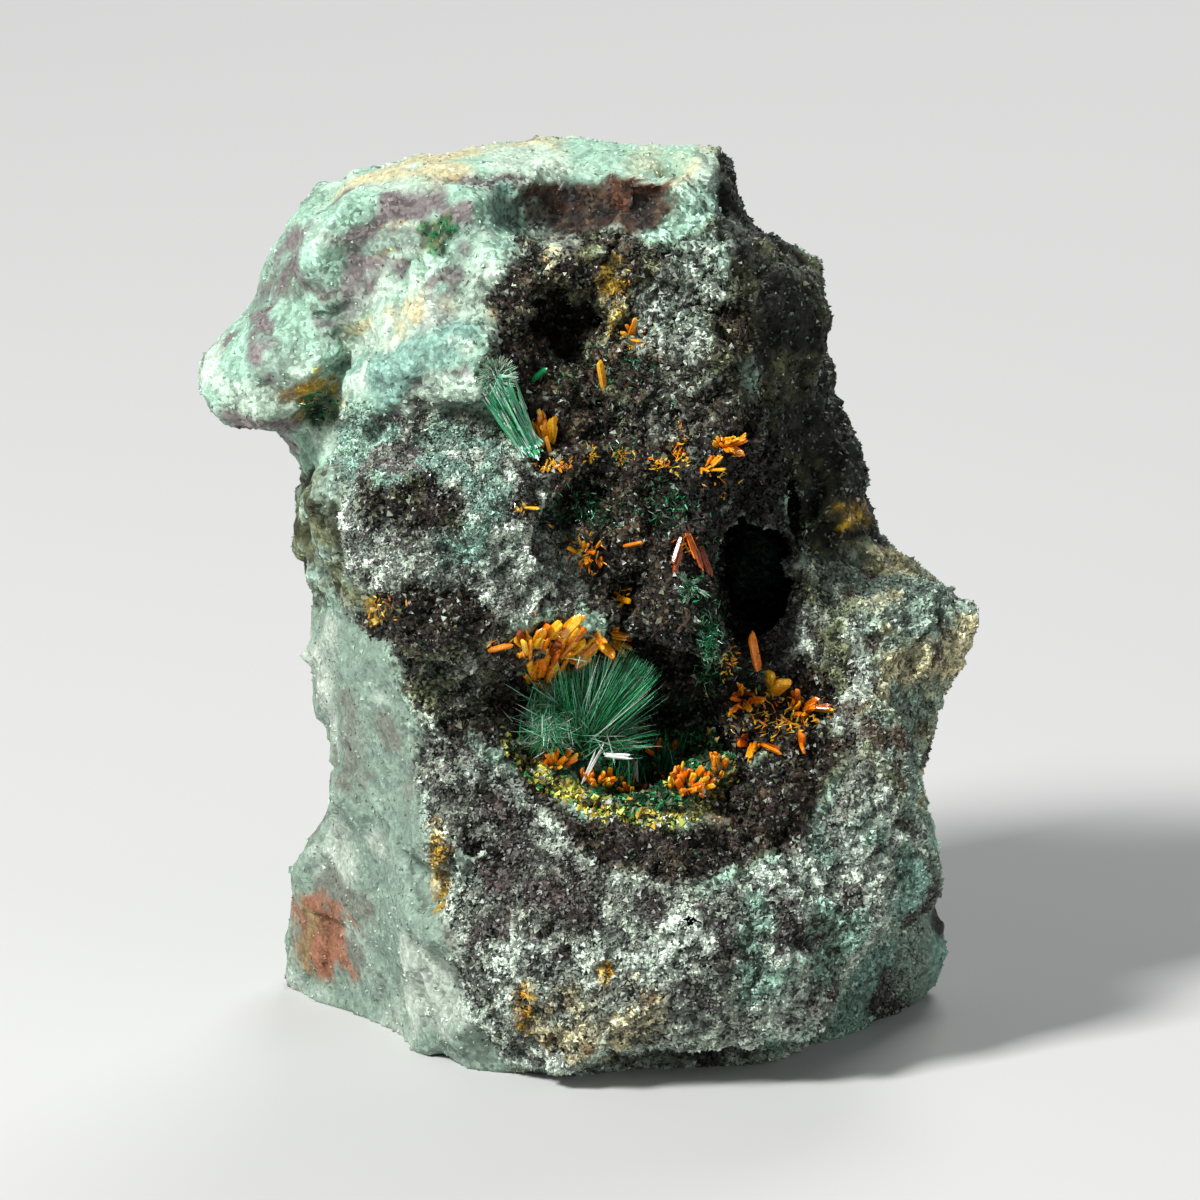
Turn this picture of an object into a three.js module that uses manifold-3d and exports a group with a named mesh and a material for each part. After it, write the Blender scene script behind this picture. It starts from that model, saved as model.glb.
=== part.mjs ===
// Kasolite with malachite: a small specimen of copper-stained rock, 37 mm tall, with a crystal
// pocket low on its front and a deep hole beside it. Green malachite needles and orange kasolite
// prisms grow in the pocket and on the dark drusy rock above it.
// Millimetres, +Z up, the pocket faces -Y, and the rock stands on z = 0.
import * as THREE from 'three';
import { ImprovedNoise } from 'three/addons/math/ImprovedNoise.js';
import { mergeVertices } from 'three/addons/utils/BufferGeometryUtils.js';
import Module from 'manifold-3d';

const wasm = await Module();
wasm.setup();

// The outline is the rock's silhouette seen from the front, from 15 degrees above the horizon.
// Its second coordinate is the seen height: a point further back looks higher than it is.
const VIEW_TILT = THREE.MathUtils.degToRad(15);
const FRONT_FOOT_Y = -9;
const OUTLINE = [
  [-12.4, 3.5], [-12.2, 6.3], [-11.8, 8.8], [-10.4, 10.6], [-10.1, 12.6], [-10.3, 15.2],
  [-11.1, 18.1], [-10.2, 20.1], [-10.7, 21.5], [-11.4, 23.7], [-10.9, 25.4], [-12, 27.1],
  [-15.1, 28.1], [-15.6, 29], [-13.9, 32.6], [-13, 34.4], [-11.8, 36.4], [-9.4, 38.4],
  [-5.7, 39.2], [-2.8, 40], [-1.5, 40.2], [0, 39.7], [5, 39.4], [5.9, 38.7], [6.9, 36.4],
  [9.7, 34.6], [10.2, 33], [10.3, 29.6], [11.6, 25.8], [12.5, 22.9], [14, 21.6], [15.1, 20.3],
  [15.6, 17.7], [14.9, 14.8], [14.5, 11.8], [14.1, 9.3], [15.1, 6.8], [15.3, 5], [14.2, 2.4],
  [12, -4], [-12, -4],
];

// Half the rock's thickness in front of and behind its middle, and how fast it thins to the edge.
const FRONT_SWELL = { low: 13.2, high: 10.2 };
const BACK_SWELL = 10.4;
const MIDDLE_Y = { low: 1.6, high: 3.4 };
const EDGE_ROUNDING = 7;
const OUTLINE_EASE = 0.3; // makes up for what the rounding between forms takes off

// Flat breaks that cut the rock: a point on each, and the way it faces.
const BREAKS = [
  { name: 'pale slab upper left', at: [-7.5, -4.9, 31.2], facing: [-0.6, -0.64, 0.48] },
  { name: 'top', at: [0, 0, 36.6], facing: [0.03, -0.16, 1] },
  { name: 'upper front', at: [2, -4.4, 34], facing: [0.1, -1, 0.12] },
  { name: 'lower left flank', at: [-7.6, -6.4, 9.4], facing: [-0.78, -0.62, 0.04] },
  { name: 'foot of the front', at: [1, -9.1, 0.5], facing: [-0.05, -1, -0.42] },
  { name: 'lower right flank', at: [12.3, -4.6, 8], facing: [0.78, -0.58, -0.22] },
  { name: 'left flank below the beak', at: [-9.6, -4, 18], facing: [-0.84, -0.52, -0.1] },
  { name: 'right flank', at: [10.2, -1.2, 27], facing: [0.72, -0.68, 0.12] },
  { name: 'back', at: [1, 10.6, 17], facing: [0.12, 1, 0.06] },
  { name: 'back left', at: [-8.5, 7.6, 16], facing: [-0.62, 0.78, 0.05] },
  { name: 'back right', at: [10.5, 7, 13], facing: [0.8, 0.6, 0.1] },
  { name: 'back top', at: [1, 9.2, 29], facing: [0.05, 0.8, 0.6] },
  { name: 'back foot', at: [2, 9.6, 4], facing: [-0.1, 0.8, -0.55] },
];

// Blocks and bosses that stand out, and the pockets and holes sunk in: centre and half sizes.
const LUMPS = [
  { name: 'left block', at: [-4.5, -6.2, 22.1], half: [4.3, 4.8, 3.9], square: 5, turn: -0.3, yaw: -0.15 },
  { name: 'left block step', at: [-7.6, -4.6, 22.6], half: [2.6, 3.2, 3], square: 4, turn: 0.4, yaw: 0.5 },
  { name: 'left block toe', at: [-1.3, -7.4, 19.9], half: [2.6, 3, 1.7], square: 3.5, turn: 0.25 },
  { name: 'right lip', at: [10, -5.2, 9.6], half: [3.4, 4.4, 5], square: 4, turn: 0.35, yaw: 0.5 },
  { name: 'right lip edge', at: [11.2, -2.6, 12], half: [2.8, 3.8, 2.2], square: 4, turn: -0.3, yaw: -0.4 },
  { name: 'lower front', at: [2.3, -6.2, 5.8], half: [8.6, 5.6, 4.9], square: 3.6, turn: 0.06 },
  { name: 'pocket sill', at: [2, -8.2, 9.2], half: [5.4, 2.6, 2.2], square: 3, turn: -0.06 },
  { name: 'left sill', at: [-3.9, -6.4, 11.2], half: [2.9, 3.6, 3.3], square: 3, turn: -0.3 },
  { name: 'right boss', at: [11.4, -0.6, 16.2], half: [3.8, 3.6, 3.4], square: 4, turn: -0.5, yaw: 0.5 },
  { name: 'right boss back', at: [10.4, 3.4, 14.6], half: [4, 4, 3.8], square: 3.4, turn: 0.3, yaw: -0.3 },
  { name: 'column', at: [4.2, -4.9, 18.9], half: [2, 3.8, 5], square: 3.4, turn: 0.15 },
  { name: 'shelf', at: [7.9, -3.4, 13], half: [3.2, 3.8, 1.9], square: 3, turn: 0.1 },
  { name: 'druse shoulder', at: [3.8, -3.8, 27.2], half: [3, 3.6, 3.8], square: 3.6, turn: 0 },
  { name: 'pale block under the top', at: [-3.1, -3.4, 34.6], half: [0.9, 2, 1.4], square: 6, turn: 0.1 },
  { name: 'slab edge', at: [-7, -4.6, 28.6], half: [4.6, 2, 1.3], square: 4, turn: 0.35, yaw: -0.3 },
  { name: 'druse field', at: [0.7, -3.4, 23.8], half: [3.2, 3.5, 5.2], square: 4, turn: 0.1 },
  { name: 'beak', at: [-12.2, 0, 27.8], half: [3.3, 3.2, 2], square: 4, turn: 0.6, yaw: -0.2 },
  { name: 'slab shoulder', at: [-10.4, 0.6, 30.2], half: [5, 3.4, 2.2], square: 4, turn: 0.94, yaw: -0.2 },
];
const HOLLOWS = [
  { name: 'sunken druse', at: [2.5, -14.8, 27.6], half: [5.5, 8.4, 8.2], square: 3, turn: 0.12 },
  { name: 'right recess', at: [11.4, -10.4, 26.4], half: [4.4, 9.4, 9], square: 2.6, turn: 0.25 },
  { name: 'pocket', at: [1.9, -8.6, 15.1], half: [4.8, 5.2, 3.5], square: 2.1, turn: -0.12 },
  { name: 'pocket floor', at: [2.1, -6.2, 12.9], half: [3.7, 3.4, 2.5], square: 2.4, turn: -0.1 },
  { name: 'deep hole', at: [7.3, -3.4, 20], half: [1.8, 7, 3.2], square: 2.4, turn: 0.15 },
  { name: 'upper hole', at: [-0.9, -6.2, 30.3], half: [1.5, 4.2, 1.45], square: 2.2, turn: -0.4 },
  { name: 'rusty hollow', at: [1.4, -4.6, 35], half: [3.6, 3.4, 1.15], square: 3, turn: 0.03 },
  { name: 'fan niche', at: [-2.5, -8.2, 28.4], half: [1.5, 2.6, 2.1], square: 2.4, turn: 0.3 },
  { name: 'crevice', at: [-0.9, -9.4, 23.9], half: [0.7, 2.6, 1.1], square: 2, turn: 0.1 },
  { name: 'under the beak', at: [-13.8, -1.5, 23.6], half: [2.4, 5, 1.5], square: 2, turn: -0.4 },
];

// Ledges left standing inside the hollows, where crystals are rooted.
const LEDGES = [
  { name: 'spray ledge', at: [-0.3, -5.6, 12.2], half: [1.9, 1.9, 1.8], square: 2, turn: 0.2 },
  { name: 'roof ledge', at: [-0.6, -6.6, 18.4], half: [2.3, 1.9, 1.3], square: 2, turn: 0.2 },
];

// Roughness: how far the surface wanders, over what distance. The druse is rougher.
const ROUGHNESS = [
  { depth: 1.1, across: 8, octaves: 2 },
  { depth: 0.5, across: 2.6, octaves: 2 },
];
// Chips: the stone breaks into flat pieces this wide that tilt by this much.
const CHIPS = [
  { depth: 0.8, across: 5.2 },
  { depth: 0.3, across: 2.2 },
];
const EDGE_CALM = { share: 0.55, within: 1.6 }; // the rock is smoother this close to its outline
const DRUSE_ROUGHNESS = { depth: 0.9, across: 1.8, octaves: 2 };
const DRUSE = { at: [2.5, -8, 25.5], half: [5.2, 6, 9.5] };

// Growths are placed by x and by seen height, where the line of sight meets the rock. Angles are
// as seen, 0 to the right and 90 up; `out` is how far a crystal leans towards the viewer.
const SPRAY = {
  at: [0.1, 14],
  bundles: [
    { from: 30, to: 60, count: 16, length: 4.3, width: 0.3, out: [0.4, 0.8] },
    { from: 60, to: 100, count: 9, length: 3.5, width: 0.28, out: [0.35, 0.9] },
    { from: 100, to: 165, count: 10, length: 2.9, width: 0.26, out: [0.3, 0.9] },
    { from: 165, to: 200, count: 4, length: 2.4, width: 0.24, out: [0.3, 0.7] },
    { from: 4, to: 26, count: 4, length: 3, width: 0.22, out: [0.4, 0.8] },
  ],
};
const FAN = {
  at: [-2.2, 26.9],
  bundles: [
    { from: 96, to: 124, count: 8, length: 3.3, width: 0.5, out: [0.35, 0.6], rootSpread: 0.3 },
    { from: 92, to: 130, count: 8, length: 3, width: 0.5, out: [0.6, 0.95], rootSpread: 0.3 },
  ],
};
const MALACHITE_BLADES = [
  { name: 'malachite_blade', at: [-1.7, 29.6], patch: [0.1, 0.1], count: 1, length: 0.95, width: 0.3,
    lean: [1.6, 0.4], seed: 3 },
  { name: 'malachite_tuft', at: [4.6, 20.8], patch: [0.4, 0.35], count: 6, length: 0.7, width: 0.22,
    seed: 5 },
];
const KASOLITE = [
  { name: 'kasolite_roof_cluster', at: [-0.95, 17.8], patch: [1.4, 1.2], count: 19, length: 1.1,
    width: 0.56, fan: 0.5, lean: [0.35, 0.3], seed: 2 },
  { name: 'kasolite_roof_right', at: [1.1, 18.6], patch: [0.55, 0.35], count: 5, length: 1,
    width: 0.42, fan: 0.7, lean: [0.6, -0.6], seed: 4 },
  { name: 'kasolite_left_blade', at: [-3.5, 18.2], patch: [0.1, 0.1], count: 1, length: 0.75,
    width: 0.4, lean: [0.9, 0.6], seed: 6 },
  { name: 'kasolite_beside_fan', at: [-1.25, 27.2], patch: [0.35, 0.3], count: 4, length: 1.15,
    width: 0.55, lean: [0.1, 0.9], seed: 8 },
  { name: 'kasolite_bowtie', at: [6.1, 26.8], patch: [0.5, 0.3], count: 5, length: 0.95, width: 0.42,
    fan: 1.4, lean: [0.2, 0], seed: 2 },
  { name: 'kasolite_strip', at: [5.4, 25.9], patch: [0.45, 0.25], count: 4, length: 0.6, width: 0.3,
    lean: [0.8, 0.5], seed: 9 },
  { name: 'kasolite_upper_blade', at: [1, 29.3], patch: [0.1, 0.1], count: 1, length: 0.95,
    width: 0.36, lean: [-0.5, 0.9], seed: 1 },
  { name: 'kasolite_top_blades', at: [2.2, 31.3], patch: [0.3, 0.25], count: 3, length: 0.7,
    width: 0.34, lean: [0.2, 0.2], seed: 3 },
  { name: 'kasolite_hanging', at: [4.6, 22.6], patch: [0.6, 0.3], count: 4, length: 1.35,
    width: 0.5, lean: [0.1, -1.5], out: 0.5, seed: 7 },
  { name: 'kasolite_middle_cluster', at: [0.4, 22.3], patch: [0.6, 0.45], count: 6, length: 0.65,
    width: 0.26, seed: 6 },
  { name: 'kasolite_small_blade', at: [2.05, 22.5], patch: [0.1, 0.1], count: 1, length: 0.7,
    width: 0.28, lean: [1.5, -0.3], seed: 2 },
  { name: 'kasolite_druse_blade', at: [-2, 24.2], patch: [0.1, 0.1], count: 1, length: 0.6,
    width: 0.22, lean: [1.5, 0.3], seed: 4 },
  { name: 'kasolite_low_blade', at: [1.7, 20.4], patch: [0.1, 0.1], count: 1, length: 0.6,
    width: 0.26, lean: [1.4, 0.1], seed: 5 },
  { name: 'kasolite_prism', at: [7.3, 17.5], patch: [0.1, 0.1], count: 1, length: 1.8, width: 0.55,
    lean: [-0.5, 1.9], out: 0.5, seed: 1 },
  { name: 'kasolite_shelf_block', at: [8, 16.4], patch: [0.1, 0.1], count: 2, length: 0.9,
    width: 0.6, lean: [0.1, 0.6], seed: 6 },
  { name: 'kasolite_shelf_left', at: [6.7, 16], patch: [0.45, 0.5], count: 5, length: 0.65,
    width: 0.34, seed: 3 },
  { name: 'kasolite_shelf_right', at: [9.3, 15.7], patch: [0.7, 0.3], count: 6, length: 0.75,
    width: 0.36, lean: [0.4, 0.3], seed: 5 },
  { name: 'kasolite_shelf_front', at: [7.3, 14], patch: [0.5, 0.4], count: 4, length: 0.8,
    width: 0.42, lean: [0.2, -0.3], seed: 8 },
  { name: 'kasolite_lip_blade', at: [9.2, 14.2], patch: [0.2, 0.1], count: 2, length: 0.55,
    width: 0.34, lean: [0.3, 0.2], seed: 2 },
];
// The crust lines the pocket up to a height, and laps over its rim.
const CRUST = {
  top: { at: 13.4, wander: 1.4, across: 3 }, lap: 0.1, thickness: 0.4, step: 0.42, triangles: 800,
  grain: { depth: 0.5, across: 1.1 },
};
const POCKET_BLADES = [
  { at: [-0.8, 13.2], patch: [0.6, 0.3], count: 4, length: 0.9, width: 0.42, lean: [0.3, 0.2], seed: 3 },
  { at: [0.9, 12.4], patch: [0.5, 0.3], count: 4, length: 0.9, width: 0.42, lean: [0.4, 0.2], seed: 5 },
  { at: [5, 12.2], patch: [0.6, 0.7], count: 6, length: 0.9, width: 0.5, lean: [0, 0.2], seed: 7 },
];
const POCKET_NEEDLES = [
  {
    at: [2.6, 12.3],
    bundles: [
      { from: 72, to: 110, count: 7, length: 1.9, width: 0.2, out: [0.1, 0.5], rootSpread: 0.7 },
    ],
  },
  {
    at: [3.8, 12.2],
    bundles: [
      { from: 70, to: 105, count: 6, length: 1.9, width: 0.2, out: [0.1, 0.5], rootSpread: 0.7 },
    ],
  },
  {
    at: [0.3, 12.6],
    bundles: [
      { from: 55, to: 72, count: 3, length: 1.6, width: 0.26, out: [0.3, 0.6], rootSpread: 0.3 },
    ],
  },
];

const POINT_GRID = 1e-3; // points closer than this count as one
const GAP = 0.06; // space kept between a growth and the rock that it stands on
const FOOT_SIZE = 1.3; // a crystal's foot, as a share of the crystal's width
const GOLDEN_ANGLE = 2.4;
const WANDER = 0.5; // how far a crystal's lean strays from its neighbours'
const LENGTHS = { shortest: 0.8, range: 0.4 }; // a crystal's length, as a share of its kind's
const ROOT_DEPTH = 0.25; // share of a crystal's length that is sunk in what it grows on
const NEEDLE_LENGTHS = { shortest: 0.82, range: 0.3 };
const NEEDLE_ROOT = 0.3; // how far a needle starts behind the spray's root
const NEEDLE = { flatness: 1, shoulder: 0.6, end: 0 }; // round, and tapering to a point
// Share of a growth's triangles kept when its slivers are merged.
const KEPT = { crust: 0.45, spray: 0.3, fan: 0.6, small: 0.45 };

const GRID = 0.62; // spacing of the sampling grid
const LOW_CORNER = [-16.8, -14.4, -3];
const HIGH_CORNER = [16.8, 13, 39];
const MATRIX_TRIANGLES = 5200;

const clamp = THREE.MathUtils.clamp;
const blendRound = 0.8; // radius of the fillet between joined forms
const perlin = new ImprovedNoise();

// Sum of noise layers, each half as wide and half as strong as the one before, in -1 to 1.
function fractalNoise(x, y, z, across, octaves) {
  let sum = 0;
  let strength = 1;
  let total = 0;
  let size = across;
  for (let layer = 0; layer < octaves; layer++) {
    sum += strength * perlin.noise(x / size + 7.3 * layer, y / size + 2.1, z / size - 4.7);
    total += strength;
    strength *= 0.5;
    size *= 0.5;
  }
  return sum / total;
}

// A number from 0 to 1 that looks random but is always the same for the same whole numbers.
function scatter(i, j, k, which) {
  const mixed = Math.sin(i * 127.1 + j * 311.7 + k * 74.7 + which * 53.3) * 43758.5453;
  return mixed - Math.floor(mixed);
}

// Height of the chip that a point lies in: flat in each cell, with a step between cells.
function chipHeight(x, y, z, across) {
  const cell = [x, y, z].map((value) => Math.floor(value / across));
  let nearest = Infinity;
  let height = 0;
  for (let i = cell[0] - 1; i <= cell[0] + 1; i++) {
    for (let j = cell[1] - 1; j <= cell[1] + 1; j++) {
      for (let k = cell[2] - 1; k <= cell[2] + 1; k++) {
        const dx = x / across - i - scatter(i, j, k, 0);
        const dy = y / across - j - scatter(i, j, k, 1);
        const dz = z / across - k - scatter(i, j, k, 2);
        const away = dx * dx + dy * dy + dz * dz;
        if (away >= nearest) continue;
        nearest = away;
        height = 1.6 * (dx * (scatter(i, j, k, 3) - 0.5) + dy * (scatter(i, j, k, 4) - 0.5)
          + dz * (scatter(i, j, k, 5) - 0.5)) + 0.4 * (scatter(i, j, k, 6) - 0.5);
      }
    }
  }
  return height;
}

// Smooth maximum of two distances: the cut between them is rounded.
function smoothMax(a, b, round = blendRound) {
  const share = Math.max(round - Math.abs(a - b), 0) / round;
  return Math.max(a, b) + share * share * round * 0.25;
}

const smoothMin = (a, b, round = blendRound) => -smoothMax(-a, -b, round);

// Signed distance to the outline, below zero inside it.
function outlineDistance(x, seenHeight) {
  let nearest = Infinity;
  let inside = false;
  for (let i = 0, j = OUTLINE.length - 1; i < OUTLINE.length; j = i++) {
    const [ax, ay] = OUTLINE[i];
    const [bx, by] = OUTLINE[j];
    const ex = bx - ax;
    const ey = by - ay;
    const wx = x - ax;
    const wy = seenHeight - ay;
    const along = clamp((wx * ex + wy * ey) / (ex * ex + ey * ey), 0, 1);
    nearest = Math.min(nearest, Math.hypot(wx - ex * along, wy - ey * along));
    const crosses = ay > seenHeight !== by > seenHeight;
    if (crosses && x < ((bx - ax) * (seenHeight - ay)) / (by - ay) + ax) inside = !inside;
  }
  return inside ? -nearest : nearest;
}

const seenHeightOf = (y, z) => z + (y - FRONT_FOOT_Y) * Math.tan(VIEW_TILT);

// A rounded block; square 2 is an ellipsoid and higher values are boxier. It is turned in the
// plane of the outline by `turn` and then about the upright by `yaw`.
function blockDistance({ at, half, square = 2, turn = 0, yaw = 0 }, x, y, z) {
  const [dx, dy, dz] = [x - at[0], y - at[1], z - at[2]];
  const across = dx * Math.cos(yaw) + dy * Math.sin(yaw);
  const deep = dy * Math.cos(yaw) - dx * Math.sin(yaw);
  const u = Math.abs(across * Math.cos(turn) + dz * Math.sin(turn)) / half[0];
  const v = Math.abs(deep) / half[1];
  const w = Math.abs(dz * Math.cos(turn) - across * Math.sin(turn)) / half[2];
  const reach = (u ** square + v ** square + w ** square) ** (1 / square);
  return (reach - 1) * Math.min(...half);
}

function breakDistance(face, x, y, z) {
  const [nx, ny, nz] = face.facing;
  const [px, py, pz] = face.at;
  return ((x - px) * nx + (y - py) * ny + (z - pz) * nz) / Math.hypot(nx, ny, nz);
}

// The rock before it is cut: the outline swollen to the front and the back.
function swollenOutline(x, y, z) {
  const distance = outlineDistance(x, seenHeightOf(y, z)) - OUTLINE_EASE;
  const share = clamp(-distance / EDGE_ROUNDING, 0, 1);
  const swell = Math.sqrt(1 - (1 - share) ** 2);
  const high = THREE.MathUtils.smoothstep(z, 12, 30);
  const middle = THREE.MathUtils.lerp(MIDDLE_Y.low, MIDDLE_Y.high, high);
  const front = middle - swell * THREE.MathUtils.lerp(FRONT_SWELL.low, FRONT_SWELL.high, high);
  const back = middle + swell * BACK_SWELL;
  return smoothMax(smoothMax(front - y, y - back), distance);
}

// Below zero inside the rock.
function rockDistance(x, y, z) {
  let distance = swollenOutline(x, y, z);
  for (const face of BREAKS) distance = smoothMax(distance, breakDistance(face, x, y, z));
  for (const lump of LUMPS) distance = smoothMin(distance, blockDistance(lump, x, y, z));
  for (const hollow of HOLLOWS) distance = smoothMax(distance, -blockDistance(hollow, x, y, z));
  for (const ledge of LEDGES) distance = smoothMin(distance, blockDistance(ledge, x, y, z));
  const insideOutline = clamp(-outlineDistance(x, seenHeightOf(y, z)) / EDGE_CALM.within, 0, 1);
  const rough = THREE.MathUtils.lerp(EDGE_CALM.share, 1, insideOutline);
  for (const { depth, across, octaves } of ROUGHNESS) {
    distance += rough * depth * fractalNoise(x, y, z, across, octaves);
  }
  for (const { depth, across } of CHIPS) distance += rough * depth * chipHeight(x, y, z, across);
  const druseShare = clamp(1.3 - blockDistance(DRUSE, x, y, z) * 0.5, 0, 1);
  if (druseShare > 0) {
    const { depth, across, octaves } = DRUSE_ROUGHNESS;
    distance += druseShare * depth * fractalNoise(x, y, z, across, octaves);
  }
  return distance;
}

// The six tetrahedra that fill a cube, as corners numbered by bits: 1 is +x, 2 is +y, 4 is +z.
const TETRAHEDRA = [
  [0, 1, 3, 7], [0, 3, 2, 7], [0, 2, 6, 7], [0, 6, 4, 7], [0, 4, 5, 7], [0, 5, 1, 7],
];

// The surface where `distance` is zero inside the box, as one closed mesh.
function surfaceOf(distance, low, high, step) {
  const count = low.map((edge, axis) => Math.ceil((high[axis] - edge) / step) + 1);
  const [nx, ny, nz] = count;
  const pointOf = (index) => [
    low[0] + (index % nx) * step,
    low[1] + (Math.floor(index / nx) % ny) * step,
    low[2] + Math.floor(index / (nx * ny)) * step,
  ];
  const values = new Float32Array(nx * ny * nz);
  for (let i = 0; i < values.length; i++) {
    const [ix, iy, iz] = [i % nx, Math.floor(i / nx) % ny, Math.floor(i / (nx * ny))];
    const onRim = !ix || !iy || !iz || ix === nx - 1 || iy === ny - 1 || iz === nz - 1;
    values[i] = onRim ? step : distance(...pointOf(i));
  }
  const points = [];
  const triangles = [];
  const known = new Map();
  const crossing = (inner, outer) => {
    const key = inner * values.length + outer;
    if (!known.has(key)) {
      const share = clamp(values[inner] / (values[inner] - values[outer]), 0.08, 0.92);
      const a = new THREE.Vector3(...pointOf(inner));
      known.set(key, points.push(a.lerp(new THREE.Vector3(...pointOf(outer)), share)) - 1);
    }
    return known.get(key);
  };
  const middleOf = (ends) => {
    const sum = new THREE.Vector3();
    for (const end of ends) sum.add(new THREE.Vector3(...pointOf(end)));
    return sum.divideScalar(ends.length);
  };
  const outward = new THREE.Vector3();
  const facing = new THREE.Vector3();
  const addTriangle = (a, b, c) => {
    const ab = points[b].clone().sub(points[a]);
    facing.crossVectors(ab, points[c].clone().sub(points[a]));
    triangles.push(facing.dot(outward) > 0 ? [a, b, c] : [a, c, b]);
  };
  const cornerOffset = (c) => (c & 1) + nx * ((c >> 1) & 1) + nx * ny * (c >> 2);
  const corners = [...Array(8).keys()].map(cornerOffset);
  for (let iz = 0; iz < nz - 1; iz++) {
    for (let iy = 0; iy < ny - 1; iy++) {
      for (let ix = 0; ix < nx - 1; ix++) {
        const cube = ix + nx * (iy + ny * iz);
        for (const tetrahedron of TETRAHEDRA) {
          const ends = tetrahedron.map((corner) => cube + corners[corner]);
          const inner = ends.filter((end) => values[end] < 0);
          const outer = ends.filter((end) => values[end] >= 0);
          if (!inner.length || !outer.length) continue;
          outward.copy(middleOf(outer)).sub(middleOf(inner));
          if (inner.length === 2) {
            const ring = [[0, 0], [0, 1], [1, 1], [1, 0]];
            const [a, b, c, d] = ring.map(([i, o]) => crossing(inner[i], outer[o]));
            addTriangle(a, b, c);
            addTriangle(a, c, d);
          } else {
            const [a, b, c] = inner.length === 1
              ? outer.map((end) => crossing(inner[0], end))
              : inner.map((end) => crossing(end, outer[0]));
            addTriangle(a, b, c);
          }
        }
      }
    }
  }
  return { points, triangles };
}

// A list kept as a heap: the cheapest item comes off first.
class Heap {
  items = [];

  push(item) {
    const items = this.items;
    let place = items.push(item) - 1;
    while (place > 0) {
      const parent = (place - 1) >> 1;
      if (items[parent].cost <= items[place].cost) break;
      [items[parent], items[place]] = [items[place], items[parent]];
      place = parent;
    }
  }

  pop() {
    const items = this.items;
    const top = items[0];
    const last = items.pop();
    if (!items.length) return top;
    items[0] = last;
    for (let place = 0; ;) {
      const left = 2 * place + 1;
      const right = left + 1;
      let least = place;
      if (left < items.length && items[left].cost < items[least].cost) least = left;
      if (right < items.length && items[right].cost < items[least].cost) least = right;
      if (least === place) return top;
      [items[least], items[place]] = [items[place], items[least]];
      place = least;
    }
  }
}

// Squared distance to a set of planes, kept as the ten numbers of a symmetric 4 by 4 matrix.
function addPlane(quadric, normal, offset, weight) {
  const row = [normal.x, normal.y, normal.z, offset];
  let place = 0;
  for (let i = 0; i < 4; i++) {
    for (let j = i; j < 4; j++) quadric[place++] += weight * row[i] * row[j];
  }
}

function quadricCost(q, { x, y, z }) {
  return q[0] * x * x + 2 * q[1] * x * y + 2 * q[2] * x * z + 2 * q[3] * x
    + q[4] * y * y + 2 * q[5] * y * z + 2 * q[6] * y + q[7] * z * z + 2 * q[8] * z + q[9];
}

function quadricLowest(q) {
  const matrix = new THREE.Matrix3().set(q[0], q[1], q[2], q[1], q[4], q[5], q[2], q[5], q[7]);
  return new THREE.Vector3(-q[3], -q[6], -q[8]).applyMatrix3(matrix.invert());
}

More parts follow.
